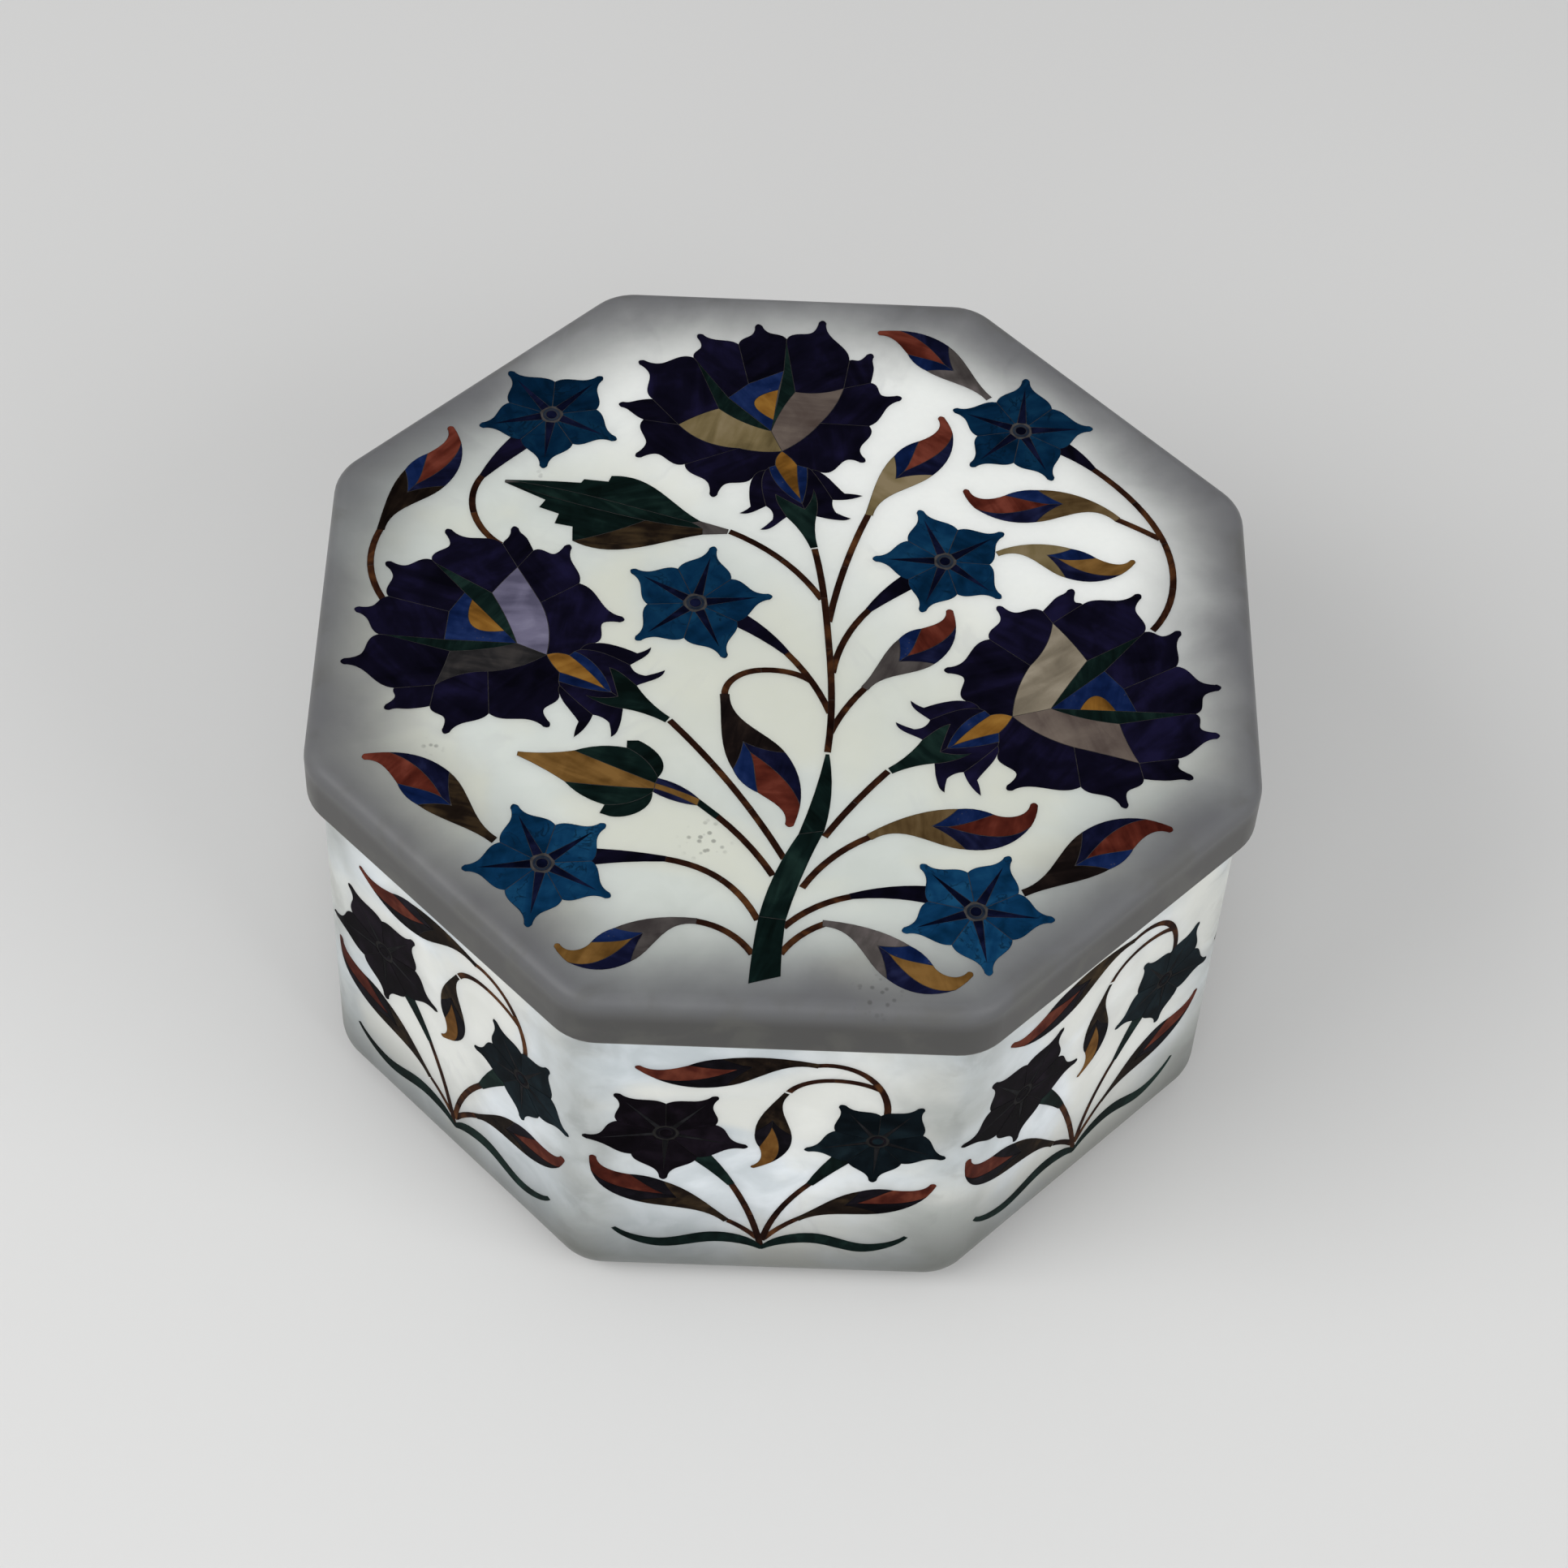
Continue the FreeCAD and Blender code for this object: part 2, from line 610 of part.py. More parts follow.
# Lid picture: a branching plant with three roses, six stars and a dozen buds
lid_inlay = Inlay()
rose(
    lid_inlay, "rose_top",
    ring=[(-1.3, 32.3), (-4.5, 32.1), (-7.4, 32.6), (-12.3, 33.7), (-16.0, 36.7), (-13.0, 38.8),
          (-10.4, 40.1), (-9.1, 42.3), (-6.3, 45.2), (-1.3, 48.0), (0.4, 43.9), (4.0, 43.9),
          (7.3, 45.0), (6.0, 41.3), (4.0, 38.0), (1.2, 34.4)],
    joints=[(-14.9, 29.1), (-21.0, 37.4), (-19.9, 41.5), (-14.3, 50.0), (-7.9, 53.0), (-1.0, 54.4),
            (8.1, 50.6), (11.2, 46.3), (11.0, 37.8)],
    horns=[(-10.8, 23.1), (-21.8, 30.2), (-24.6, 40.3), (-22.1, 48.9), (-13.8, 54.7), (-5.2, 57.2),
           (4.2, 58.4), (11.3, 52.1), (15.6, 43.6), (10.4, 30.8)],
    core=(-2.9, 36.1), folds=[(-6.4, 37.4), (-1.5, 40.2)],
    eye=[(-2.6, 38.3), (-5.4, 41.6), (-2.0, 44.2)], eye_side=2, stalk=(3.5, 14.0), hand=1)
rose(
    lid_inlay, "rose_left",
    ring=[(-32.3, -6.6), (-32.2, -2.4), (-33.6, 2.6), (-35.3, 5.7), (-37.1, 8.8), (-38.8, 6.4),
          (-40.3, 4.0), (-44.0, 3.9), (-45.9, 0.4), (-46.2, -4.6), (-45.3, -6.6), (-46.0, -9.6),
          (-46.9, -12.6), (-43.6, -10.6), (-40.0, -9.9), (-35.6, -8.7)],
    joints=[(-28.5, 6.3), (-35.1, 12.0), (-39.4, 13.0), (-48.9, 9.6), (-54.3, 2.7), (-55.1, -4.1),
            (-52.3, -13.4), (-47.3, -16.3), (-39.4, -17.2)],
    horns=[(-22.1, 0.0), (-30.2, 13.3), (-38.0, 16.3), (-47.3, 15.3), (-55.1, 8.9), (-58.7, 0.3),
           (-59.8, -9.1), (-53.3, -17.0), (-45.1, -20.9), (-31.3, -19.1)],
    core=(-36.4, -4.8), folds=[(-38.1, -0.4), (-40.6, -6.0)],
    eye=[(-38.2, -2.7), (-42.4, -2.2), (-42.9, 2.7)], eye_side=1, stalk=(-15.3, -17.3), hand=-1)
rose(
    lid_inlay, "rose_right",
    ring=[(30.3, -14.4), (30.9, -10.5), (32.9, -5.4), (35.3, -1.2), (36.1, 2.3), (38.8, -1.3),
          (40.6, -4.2), (42.9, -5.9), (45.4, -8.9), (47.0, -12.8), (44.6, -15.0), (45.6, -18.4),
          (47.0, -21.6), (42.4, -20.3), (38.4, -19.3), (33.8, -17.2)],
    joints=[(27.4, -1.0), (34.8, 4.4), (40.3, 5.9), (48.6, 1.3), (52.7, -4.6), (55.0, -12.8),
            (52.2, -20.6), (47.5, -24.3), (39.1, -26.0)],
    horns=[(21.2, -6.8), (28.6, 5.0), (39.0, 8.6), (48.3, 8.1), (53.5, 1.7), (58.6, -8.0),
           (58.0, -16.4), (54.1, -23.9), (45.0, -29.3), (29.3, -26.9)],
    core=(35.5, -12.8), folds=[(38.1, -8.3), (40.0, -14.3)],
    eye=[(39.4, -12.8), (41.6, -10.3), (44.2, -12.8)], eye_side=2, stalk=(13.6, -24.6), hand=1)

STARS = [
    ("star_north_west", (-34.0, 37.7), [48.7, 128.6, 195.0, 266.5, 334.6], 10.4),
    ("star_north_east", (32.5, 38.0), [5.0, 84.7, 159.3, 225.0, 294.2], 10.3),
    ("star_middle_left", (-12.6, 3.6), [8.9, 77.6, 148.5, 221.8, 294.2], 10.6),
    ("star_middle_right", (21.5, 12.8), [34.5, 110.8, 180.0, 250.7, 319.9], 10.0),
    ("star_south_west", (-31.0, -41.7), [40.4, 114.5, 187.2, 262.9, 330.8], 10.4),
    ("star_south_east", (25.0, -47.0), [63.7, 134.2, 200.4, 279.0, 354.9], 10.2),
]
for name, centre, angles, tip in STARS:
    star(lid_inlay, (name, "star_rays", "star_eyes", "star_rays"), centre, angles, tip, 24)

BUDS = [
    ("grey", "red", [(28.1, 44.0), (25.4, 47.0), (20.6, 51.7), (16.6, 55.2), (12.1, 56.3)], 6.2),
    ("brown", "red", [(-56.3, 14.7), (-54.4, 20.0), (-50.6, 25.2), (-47.6, 30.5), (-48.2, 34.7)], 6.6),
    ("cream", "red", [(11.0, 20.8), (13.3, 26.0), (18.2, 31.6), (21.4, 35.8), (21.0, 40.2)], 6.6),
    ("tan", "red", [(45.7, 21.7), (40.0, 24.3), (32.5, 23.4), (27.5, 23.2), (24.4, 26.4)], 6.2),
    ("cream", "amber", [(28.7, 14.5), (34.6, 15.0), (40.5, 12.6), (44.5, 12.2), (47.7, 14.3)], 5.6),
    ("grey", "red", [(10.5, -10.5), (13.2, -7.3), (18.0, -3.2), (21.3, 0.2), (22.0, 4.1)], 6.6),
    ("dark", "red", [(-8.2, -12.3), (-7.0, -17.5), (-2.4, -25.0), (0.6, -30.0), (0.7, -34.4)], 7.8),
    ("brown", "red", [(-37.3, -38.3), (-40.8, -35.3), (-46.3, -29.7), (-50.6, -26.2), (-55.6, -25.3)], 7.0),
    ("tan", "red",
     [(11.2, -35.6), (20.0, -33.4), (25.3, -33.8), (29.6, -33.4), (31.9, -31.6), (32.9, -28.9)], 6.9),
    ("dark", "red", [(31.1, -43.8), (35.0, -41.4), (41.8, -35.6), (46.0, -32.6), (51.0, -32.7)], 7.0),
    ("grey", "amber", [(-10.8, -50.1), (-15.5, -51.0), (-21.0, -54.8), (-25.0, -56.6), (-28.6, -54.4)], 5.8),
    ("grey", "amber", [(5.3, -49.7), (10.0, -51.2), (15.5, -55.8), (20.0, -58.6), (24.4, -56.6)], 6.2),
]
for sheath, flame, spine, belly in BUDS:
    names = ("bud_sheaths_" + sheath, "bud_cheeks_bright", "bud_cheeks_deep", "bud_flames_" + flame)
    bud(lid_inlay, names, spine, belly)

# Saw-edged leaf: two green blades above a brown one
vein = [(-37.6, 24.6), (-29.0, 22.8), (-22.0, 20.8), (-13.5, 18.2)]
leaf_back = [(-25.0, 26.4), (-20.0, 25.2), (-15.0, 20.7), (-12.3, 18.5)]
leaf_top = [
    [(-39.8, 24.9), (-33.0, 25.0), (-29.2, 24.9)],
    [(-29.2, 24.9), (-28.8, 25.6)],
    [(-28.8, 25.6), (-25.4, 25.3)],
    [(-25.4, 25.3), (-25.0, 26.4)],
    leaf_back,
]
leaf_saw = [
    [(-39.8, 24.4), (-34.0, 21.4)],
    [(-34.0, 21.4), (-34.8, 20.0)],
    [(-34.8, 20.0), (-32.0, 18.9)],
    [(-32.0, 18.9), (-32.5, 17.1)],
    [(-32.5, 17.1), (-30.0, 16.6)],
    [(-30.0, 16.6), (-29.9, 14.0)],
]
fold = [(-29.9, 14.0), (-25.0, 15.8), (-20.0, 18.3)]
leaf_belly = [(-29.9, 14.0), (-24.5, 12.6), (-17.0, 14.4), (-12.0, 16.0)]
rib_out = [(-39.8, 24.4), (-29.0, 20.7), (-20.0, 18.3)]
rib_in = [(-20.0, 18.3), (-16.0, 17.6), (-12.0, 17.2)]
lid_inlay.lay("leaf_green", leaf_top + [[(-12.3, 18.5), (-13.5, 18.2)], back(vein),
              [(-37.6, 24.6), (-39.8, 24.9)]])
lid_inlay.lay("leaf_green", [[(-39.8, 24.4), (-37.6, 24.6)], vein, [(-13.5, 18.2), (-12.0, 17.2)],
              back(rib_in), back(rib_out)])
lid_inlay.lay("leaf_green", leaf_saw + [fold, back(rib_out)])
lid_inlay.lay("leaf_brown", [back(fold), leaf_belly, [(-12.0, 16.0), (-12.0, 17.2)], back(rib_in)])
leaf_foot = [[(-12.3, 18.5), (-8.4, 17.2)], [(-8.4, 17.2), (-8.6, 16.3)], [(-8.6, 16.3), (-12.0, 16.0)]]
lid_inlay.lay("leaf_foot", leaf_foot + [[(-12.0, 16.0), (-12.0, 17.2)], [(-12.0, 17.2), (-13.5, 18.2)],
              [(-13.5, 18.2), (-12.3, 18.5)]])
lid_inlay.cell(leaf_top + leaf_foot + [back(leaf_belly)] + [back(run) for run in reversed(leaf_saw)]
               + [[(-39.8, 24.4), (-39.8, 24.9)]])

# Green bud: an ochre flame between two green lobes with curled tips
seam_up = [(-27.8, -22.9), (-22.0, -25.6), (-16.9, -27.9)]
seam_low = [(-28.8, -28.2), (-22.0, -28.7), (-17.0, -28.8)]
flame_edge = [[(-27.8, -22.9), (-31.0, -23.4), (-35.2, -23.4)], [(-35.2, -23.4), (-35.3, -24.1)],
              [(-35.3, -24.1), (-31.5, -26.3), (-28.8, -28.2)]]
curl_up = [(-20.9, -22.1), (-18.6, -23.8), (-16.6, -27.0)]
curl_low = [(-23.4, -31.8), (-20.0, -31.2), (-17.2, -29.4)]
lobe_up = [(-20.9, -22.1), (-23.5, -21.9), (-27.8, -22.9)]
lobe_low = [(-28.8, -28.2), (-26.7, -30.2), (-23.4, -31.8)]
hook_up = [[(-16.6, -27.0), (-16.0, -24.4), (-17.4, -22.2), (-19.4, -20.8)],
           [(-19.4, -20.8), (-20.9, -20.9)],
           [(-20.9, -20.9), (-20.9, -22.1)]]
hook_low = [[(-23.4, -31.8), (-24.0, -33.2)], [(-24.0, -33.2), (-22.6, -33.7)],
            [(-22.6, -33.7), (-20.0, -33.4), (-18.0, -32.0), (-17.2, -29.4)]]
throat = [[(-17.2, -29.4), (-17.0, -28.8)], [(-17.0, -28.8), (-16.9, -27.9)],
          [(-16.9, -27.9), (-16.6, -27.0)]]
lid_inlay.lay("green_bud_flame", flame_edge + [seam_low, throat[1], back(seam_up)])
lid_inlay.lay("green_bud_lobes", [lobe_up, seam_up, throat[2], back(curl_up)])
lid_inlay.lay("green_bud_lobes", [lobe_low, curl_low, throat[0], back(seam_low)])
lid_inlay.lay("green_bud_lobes", hook_up + [curl_up])
lid_inlay.lay("green_bud_lobes", hook_low + [back(curl_low)])
lid_inlay.cell(hook_up + [lobe_up] + flame_edge + [lobe_low] + hook_low + throat)
cup_up = [(-16.6, -27.0), (-13.6, -28.2), (-11.0, -30.3)]
cup_low = [(-11.3, -31.4), (-13.6, -31.0), (-17.2, -29.4)]
cup_mid = [(-16.9, -27.9), (-13.9, -29.0), (-11.0, -30.3)]
cup_mid_low = [(-17.0, -28.8), (-13.9, -30.0), (-11.3, -31.4)]
lid_inlay.lay("green_bud_cup_blue", [cup_up, back(cup_mid), throat[2]])
lid_inlay.lay("green_bud_cup_blue", [cup_low, throat[0], cup_mid_low])
lid_inlay.lay("green_bud_flame", [cup_mid, [(-11.0, -30.3), (-11.3, -31.4)], back(cup_mid_low), throat[1]])
lid_inlay.cell([cup_up, [(-11.0, -30.3), (-11.3, -31.4)], cup_low] + throat)
lid_inlay.fit("green_bud_lobes", [[(-11.0, -30.3), (-8.3, -32.7)], [(-8.3, -32.7), (-8.9, -33.5)],
              [(-8.9, -33.5), (-11.3, -31.4)], [(-11.3, -31.4), (-11.0, -30.3)]])

# Trunk in three lengths of green stone
trunk_left = [[(5.4, -22.0), (3.9, -29.0), (2.0, -35.5)], [(2.0, -35.5), (-1.2, -42.7), (-2.9, -49.0)],
              [(-2.9, -49.0), (-3.6, -54.5), (-4.0, -59.6)]]
trunk_right = [[(5.4, -34.8), (6.2, -29.5), (5.9, -22.0)], [(0.6, -49.4), (2.0, -44.2), (5.4, -34.8)],
               [(0.1, -58.3), (0.2, -54.0), (0.6, -49.4)]]
for k in range(3):
    top = [trunk_right[k][-1], trunk_left[k][0]]
    foot = [trunk_left[k][-1], trunk_right[k][0]]
    lid_inlay.lay("trunk", [trunk_left[k], foot, trunk_right[k], top])
lid_inlay.cell(trunk_left + [[(-4.0, -59.6), (0.1, -58.3)]] + back(trunk_right)
               + [[(5.9, -22.0), (5.4, -22.0)]])

# Necks of the star flowers, and the thin stems
NECKS = [
    ([(-37.5, 32.9), (-40.2, 29.6), (-43.0, 25.4)], [3.4, 2.5, 0.95]),
    ([(36.0, 36.3), (39.2, 34.3), (42.6, 31.0)], [3.2, 2.4, 0.95]),
    ([(-9.0, 2.2), (-5.6, 0.2), (0.0, -4.8)], [3.0, 2.5, 0.95]),
    ([(18.5, 10.4), (14.7, 7.3), (11.0, 3.4)], [3.0, 2.4, 0.95]),
    ([(-27.0, -40.6), (-22.4, -40.2), (-15.1, -40.3)], [3.2, 2.3, 0.95]),
    ([(21.0, -44.9), (15.9, -44.4), (8.8, -45.3)], [3.2, 2.3, 0.95]),
]
for spine, widths in NECKS:
    lid_inlay.fit("star_necks", band(spine, widths))
STEMS = [
    [(5.65, -21.7), (6.1, -12.0), (5.5, -1.0), (4.6, 8.0), (3.5, 14.2)],
    [(5.6, 1.0), (7.5, 10.3), (10.9, 20.9)],
    [(4.6, 5.0), (-0.4, 11.4), (-8.3, 16.8)],
    [(6.2, -8.0), (7.9, -1.8), (11.2, 3.6)],
    [(5.9, -15.0), (3.4, -9.6), (-0.2, -4.6)],
    [(3.4, -9.6), (-3.0, -7.9), (-7.0, -9.5), (-8.2, -12.4)],
    [(6.0, -18.4), (8.2, -13.8), (10.6, -10.4)],
    [(5.4, -35.8), (8.8, -30.7), (13.7, -24.5)],
    [(0.2, -39.6), (-6.4, -28.6), (-15.4, -17.2)],
    [(-1.2, -42.4), (-4.6, -37.4), (-8.7, -33.0)],
    [(2.6, -44.2), (6.2, -39.4), (11.4, -35.5)],
    [(-3.0, -49.6), (-8.4, -42.9), (-15.3, -40.3)],
    [(0.3, -50.6), (4.4, -47.2), (9.0, -45.3)],
    [(0.0, -54.8), (2.7, -51.6), (5.6, -49.8)],
    [(-3.6, -55.0), (-6.9, -51.6), (-11.0, -50.1)],
    [(-42.9, 25.6), (-44.1, 20.8), (-42.5, 15.8), (-39.6, 12.8)],
    [(-56.3, 14.9), (-57.2, 8.6), (-54.8, 1.9)],
    [(42.4, 31.2), (48.4, 24.6), (52.3, 16.6), (52.9, 10.0), (49.7, 1.6)],
    [(45.4, 21.8), (48.4, 20.2), (51.4, 18.4)],
]
for spine in STEMS:
    lay_stem(lid_inlay, "stems", spine)

# Side panel picture, the same on all eight facets
panel = Inlay()
star(panel, ("panel_star_plum", "panel_star_rays", "panel_star_eyes", "panel_star_plum"),
     (-13.9, 37.4), [-13.9, 53.6, 127.0, 189.8, 268.9], 11.3, 12)
star(panel, ("panel_star_teal", "panel_star_rays", "panel_star_eyes", "panel_star_teal"),
     (14.2, 37.1), [-22.0, 56.0, 122.0, 195.0, 269.0], 10.0, 12)
PANEL_BUDS = [
    ("red", [(5.7, 54.3), (0.0, 54.4), (-7.0, 52.0), (-12.5, 50.8), (-18.0, 53.0)], 6.4),
    ("red", [(-5.3, 16.2), (-8.6, 19.4), (-14.5, 22.6), (-20.4, 25.2), (-23.6, 31.4)], 6.5),
    ("red", [(4.2, 17.1), (7.6, 19.6), (13.5, 22.0), (19.0, 23.4), (22.4, 27.2)], 6.3),
    ("amber", [(1.8, 47.8), (0.4, 44.0), (0.2, 39.0), (0.5, 34.4), (-2.4, 29.8)], 5.0),
]
for flame, spine, belly in PANEL_BUDS:
    names = ("panel_bud_sheaths", "panel_bud_cheeks", "panel_bud_cheeks", "panel_flames_" + flame)
    bud(panel, names, spine, belly)
PANEL_NECKS = [
    ([(-11.0, 34.4), (-8.6, 31.4), (-4.9, 25.4)], [3.4, 2.6, 1.1]),
    ([(11.4, 34.9), (8.8, 31.4), (5.6, 26.0)], [3.4, 2.6, 1.1]),
]
for spine, widths in PANEL_NECKS:
    panel.fit("panel_necks", band(spine, widths))
GRASS = [
    [(-0.3, 9.3), (-3.6, 11.6), (-7.6, 12.0), (-14.2, 10.2), (-18.0, 11.2), (-20.8, 13.6)],
    [(-0.5, 9.3), (3.0, 11.9), (7.2, 12.4), (13.4, 10.4), (16.6, 11.2), (19.4, 13.6)],
]
for spine in GRASS:
    panel.fit("panel_grass", band(spine, [0.6, 2.2, 2.6, 2.2, 1.5, 0.7]))
PANEL_STEMS = [
    [(-4.9, 25.5), (-2.3, 18.2), (-0.5, 9.8)],
    [(5.6, 26.2), (1.8, 19.4), (-0.4, 11.4)],
    [(-5.2, 16.3), (-3.4, 14.8), (-1.0, 12.0)],
    [(4.2, 17.2), (2.4, 15.4), (-0.2, 11.8)],
    [(14.9, 42.0), (14.3, 48.6), (11.2, 53.0), (5.5, 54.4)],
    [(14.2, 49.0), (7.6, 51.1), (3.8, 50.0), (2.0, 48.05)],
]
for spine in PANEL_STEMS:
    lay_stem(panel, "panel_stems", spine)


# Stones and cells raised from their outlines
def one_face(faces):
    """Overlapping cells joined into clear shapes."""
    joined = faces[0].multiFuse(faces[1:])
    return Part.Compound(joined.removeSplitter().Faces)


def raised(name, faces, depth, on_lid):
    """Outlines on the polished face, and the stones or cells that go down from them."""
    outline = doc.addObject("Part::Feature", name + "_outline")
    outline.Shape = faces
    if on_lid:
        outline.setExpression("Placement.Base.z", "Dims.body_height + Dims.lid_thickness")
    else:
        outline.Placement = FreeCAD.Placement(V(0, 0, 0), FreeCAD.Rotation(V(1, 0, 0), 90))
        outline.setExpression("Placement.Base.y", "-Dims.body_across_flats / 2")
    solid = doc.addObject("Part::Extrusion", name)
    solid.Base = outline
    solid.DirMode = "Custom"
    solid.Dir = V(0, 0, -1) if on_lid else V(0, 1, 0)
    solid.Solid = True
    solid.setExpression("LengthFwd", depth)
    return solid


def all_round(name, solid):
    """The same stones on each of the eight facets."""
    copies = []
    for k in range(8):
        copy = doc.addObject("App::Link", "%s_facet_%d" % (name, k))
        copy.LinkedObject = solid
        copy.Placement = FreeCAD.Placement(V(0, 0, 0), FreeCAD.Rotation(V(0, 0, 1), 45 * k))
        copies.append(copy)
    group = doc.addObject("Part::Compound", name)
    group.Links = copies
    return group


pieces = {}
for name, faces in lid_inlay.stones.items():
    pieces[name] = raised(name, Part.Compound(faces), "Dims.lid_inlay_depth", True)
flat_reach = math.tan(math.pi / 8) * (sheet.body_across_flats / 2 - sheet.body_corner_radius)
for name, faces in panel.stones.items():
    outlines = Part.Compound(faces)
    one = raised(name + "_one", outlines, "Dims.side_inlay_depth", False)
    if max(outlines.BoundBox.XMax, -outlines.BoundBox.XMin) > flat_reach:
        # A tip that reaches the rounded corner is ground down to follow it
        ground = doc.addObject("Part::Common", name + "_ground")
        ground.Base = box_stone
        ground.Tool = one
        one = ground
    pieces[name] = all_round(name, one)

lid_cells = raised("lid_cells", one_face(lid_inlay.cells), "Dims.lid_inlay_depth", True)
lid = doc.addObject("Part::Cut", "lid")
lid.Base = lid_stone
lid.Tool = lid_cells
pieces["lid"] = lid

panel_cells = raised("panel_cells_one", one_face(panel.cells), "Dims.side_inlay_depth", False)
box_body = doc.addObject("Part::Cut", "box_body")
box_body.Base = box_stone
box_body.Tool = all_round("panel_cells", panel_cells)
pieces["box_body"] = box_body
doc.recompute()

# Checks and files
faults = []
for thing in doc.Objects:
    if "Invalid" in thing.State or "Error" in thing.State:
        faults.append(thing.Name)
for name, thing in sorted(pieces.items()):
    if thing.Shape.isNull() or not thing.Shape.isValid() or not thing.Shape.Solids:
        faults.append(name + " shape")
if faults:
    raise RuntimeError("faulty: " + ", ".join(faults))
for name, thing in sorted(pieces.items()):
    thing.Shape.exportStep("parts/%s.step" % name)
    print(name, len(thing.Shape.Solids), round(thing.Shape.Volume, 1))
print(len(pieces), "pieces")
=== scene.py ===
"""An octagonal white marble box with a loose lid, inlaid with flowers of coloured stone."""

import math

import bmesh
import bpy
from mathutils import Matrix, Vector


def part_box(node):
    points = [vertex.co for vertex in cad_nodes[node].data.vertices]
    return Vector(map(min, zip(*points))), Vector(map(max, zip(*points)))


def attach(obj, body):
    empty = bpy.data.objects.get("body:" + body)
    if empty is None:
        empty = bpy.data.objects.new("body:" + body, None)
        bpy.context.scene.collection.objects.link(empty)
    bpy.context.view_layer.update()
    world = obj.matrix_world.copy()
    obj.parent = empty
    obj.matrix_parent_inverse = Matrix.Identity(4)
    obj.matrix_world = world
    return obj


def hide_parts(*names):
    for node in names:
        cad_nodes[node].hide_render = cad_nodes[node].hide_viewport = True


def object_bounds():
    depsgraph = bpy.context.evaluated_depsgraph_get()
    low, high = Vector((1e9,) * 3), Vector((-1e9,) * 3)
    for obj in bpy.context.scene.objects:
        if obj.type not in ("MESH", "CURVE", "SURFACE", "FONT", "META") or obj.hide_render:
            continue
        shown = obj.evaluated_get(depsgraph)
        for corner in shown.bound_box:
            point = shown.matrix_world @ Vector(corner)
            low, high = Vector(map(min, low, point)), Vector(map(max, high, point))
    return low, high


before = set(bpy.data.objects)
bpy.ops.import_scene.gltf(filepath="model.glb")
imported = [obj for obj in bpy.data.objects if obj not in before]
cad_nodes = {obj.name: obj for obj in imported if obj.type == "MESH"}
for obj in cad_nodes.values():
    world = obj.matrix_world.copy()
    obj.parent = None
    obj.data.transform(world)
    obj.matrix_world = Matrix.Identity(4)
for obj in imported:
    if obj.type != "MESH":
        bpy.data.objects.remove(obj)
cad_low, cad_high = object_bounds()


# Box
# One block of white marble, sawn to an octagon with rounded corners and hollowed out by hand.
# The outside is polished and waxed. The inside is only ground, so it is duller and greyer.


class Grain:
    """A socket in a material's nodes. Sums and products of values add Math nodes."""

    def __init__(self, tree, socket=None):
        self.tree = tree
        self.socket = socket

    def node(self, kind, settings, inputs, out):
        """Adds a node, with its settings first and then its sockets, and gives one output."""
        made = self.tree.nodes.new(kind)
        for key, value in settings.items():
            if key == "stops":
                ramp = made.color_ramp.elements
                while len(ramp) < len(value):
                    ramp.new(1.0)
                for stop, (position, colour) in zip(ramp, value):
                    stop.position = position
                    stop.color = (*colour, 1.0)
            else:
                setattr(made, key, value)
        for key, value in inputs.items():
            socket = [s for s in made.inputs if key in (s.identifier, s.name)][0]
            if isinstance(value, Grain):
                self.tree.links.new(value.socket, socket)
            elif socket.type == "RGBA":
                socket.default_value = (*value, 1.0)
            else:
                socket.default_value = value
        if out is None:
            return made
        return Grain(self.tree, [s for s in made.outputs if out in (s.identifier, s.name)][0])

    def worked(self, operation, first, second):
        """One Math node on two values."""
        values = {"Value": first, "Value_001": second}
        return self.node("ShaderNodeMath", {"operation": operation}, values, "Value")

    def __abs__(self):
        return self.worked("ABSOLUTE", self, 0.0)

    def __add__(self, other):
        return self.worked("ADD", self, other)

    def __radd__(self, other):
        return self.worked("ADD", other, self)

    def __sub__(self, other):
        return self.worked("SUBTRACT", self, other)

    def __rsub__(self, other):
        return self.worked("SUBTRACT", other, self)

    def __mul__(self, other):
        return self.worked("MULTIPLY", self, other)

    def __rmul__(self, other):
        return self.worked("MULTIPLY", other, self)

    def larger(self, other):
        """Whichever of two values is larger."""
        return self.worked("MAXIMUM", self, other)

    def rising(self, low, high):
        """0 below low and 1 above high, with a smooth rise between them."""
        span = {"Value": self, "From Min": low, "From Max": high}
        return self.node("ShaderNodeMapRange", {"interpolation_type": "SMOOTHSTEP"}, span, "Result")

    def blend(self, under, over):
        """The colour under where this value is 0, and the colour over where it is 1."""
        sockets = {"Factor_Float": self, "A_Color": under, "B_Color": over}
        return self.node("ShaderNodeMix", {"data_type": "RGBA"}, sockets, "Result_Color")

    def noise(self, place, size, detail, distortion=0.0):
        """Soft cloudy noise from 0 to 1, with blotches about that many metres wide."""
        sockets = {"Vector": place, "Scale": 1.0 / size, "Detail": detail, "Distortion": distortion}
        return self.node("ShaderNodeTexNoise", {}, sockets, "Fac")

    def along(self, place, axis):
        """How far a place lies along one axis."""
        return self.node("ShaderNodeSeparateXYZ", {}, {"Vector": place}, axis)

    def surface(self, sockets):
        """Ends the nodes in one shader."""
        shader = self.node("ShaderNodeBsdfPrincipled", {}, sockets, "BSDF")
        self.node("ShaderNodeOutputMaterial", {}, {"Surface": shader}, None)


def new_finish(name):
    """An empty material and the start of its nodes."""
    material = bpy.data.materials.new(name)
    material.use_nodes = True
    material.node_tree.nodes.clear()
    return material, Grain(material.node_tree)


cloud_width = 0.024
patch_width = 0.0065
cream_width = 0.031
edge_shade_patch_width = 0.007
worn_width = 0.016
vein_apart = 0.045
crystal_width = 1 / 1500
pit_apart = 1 / 950


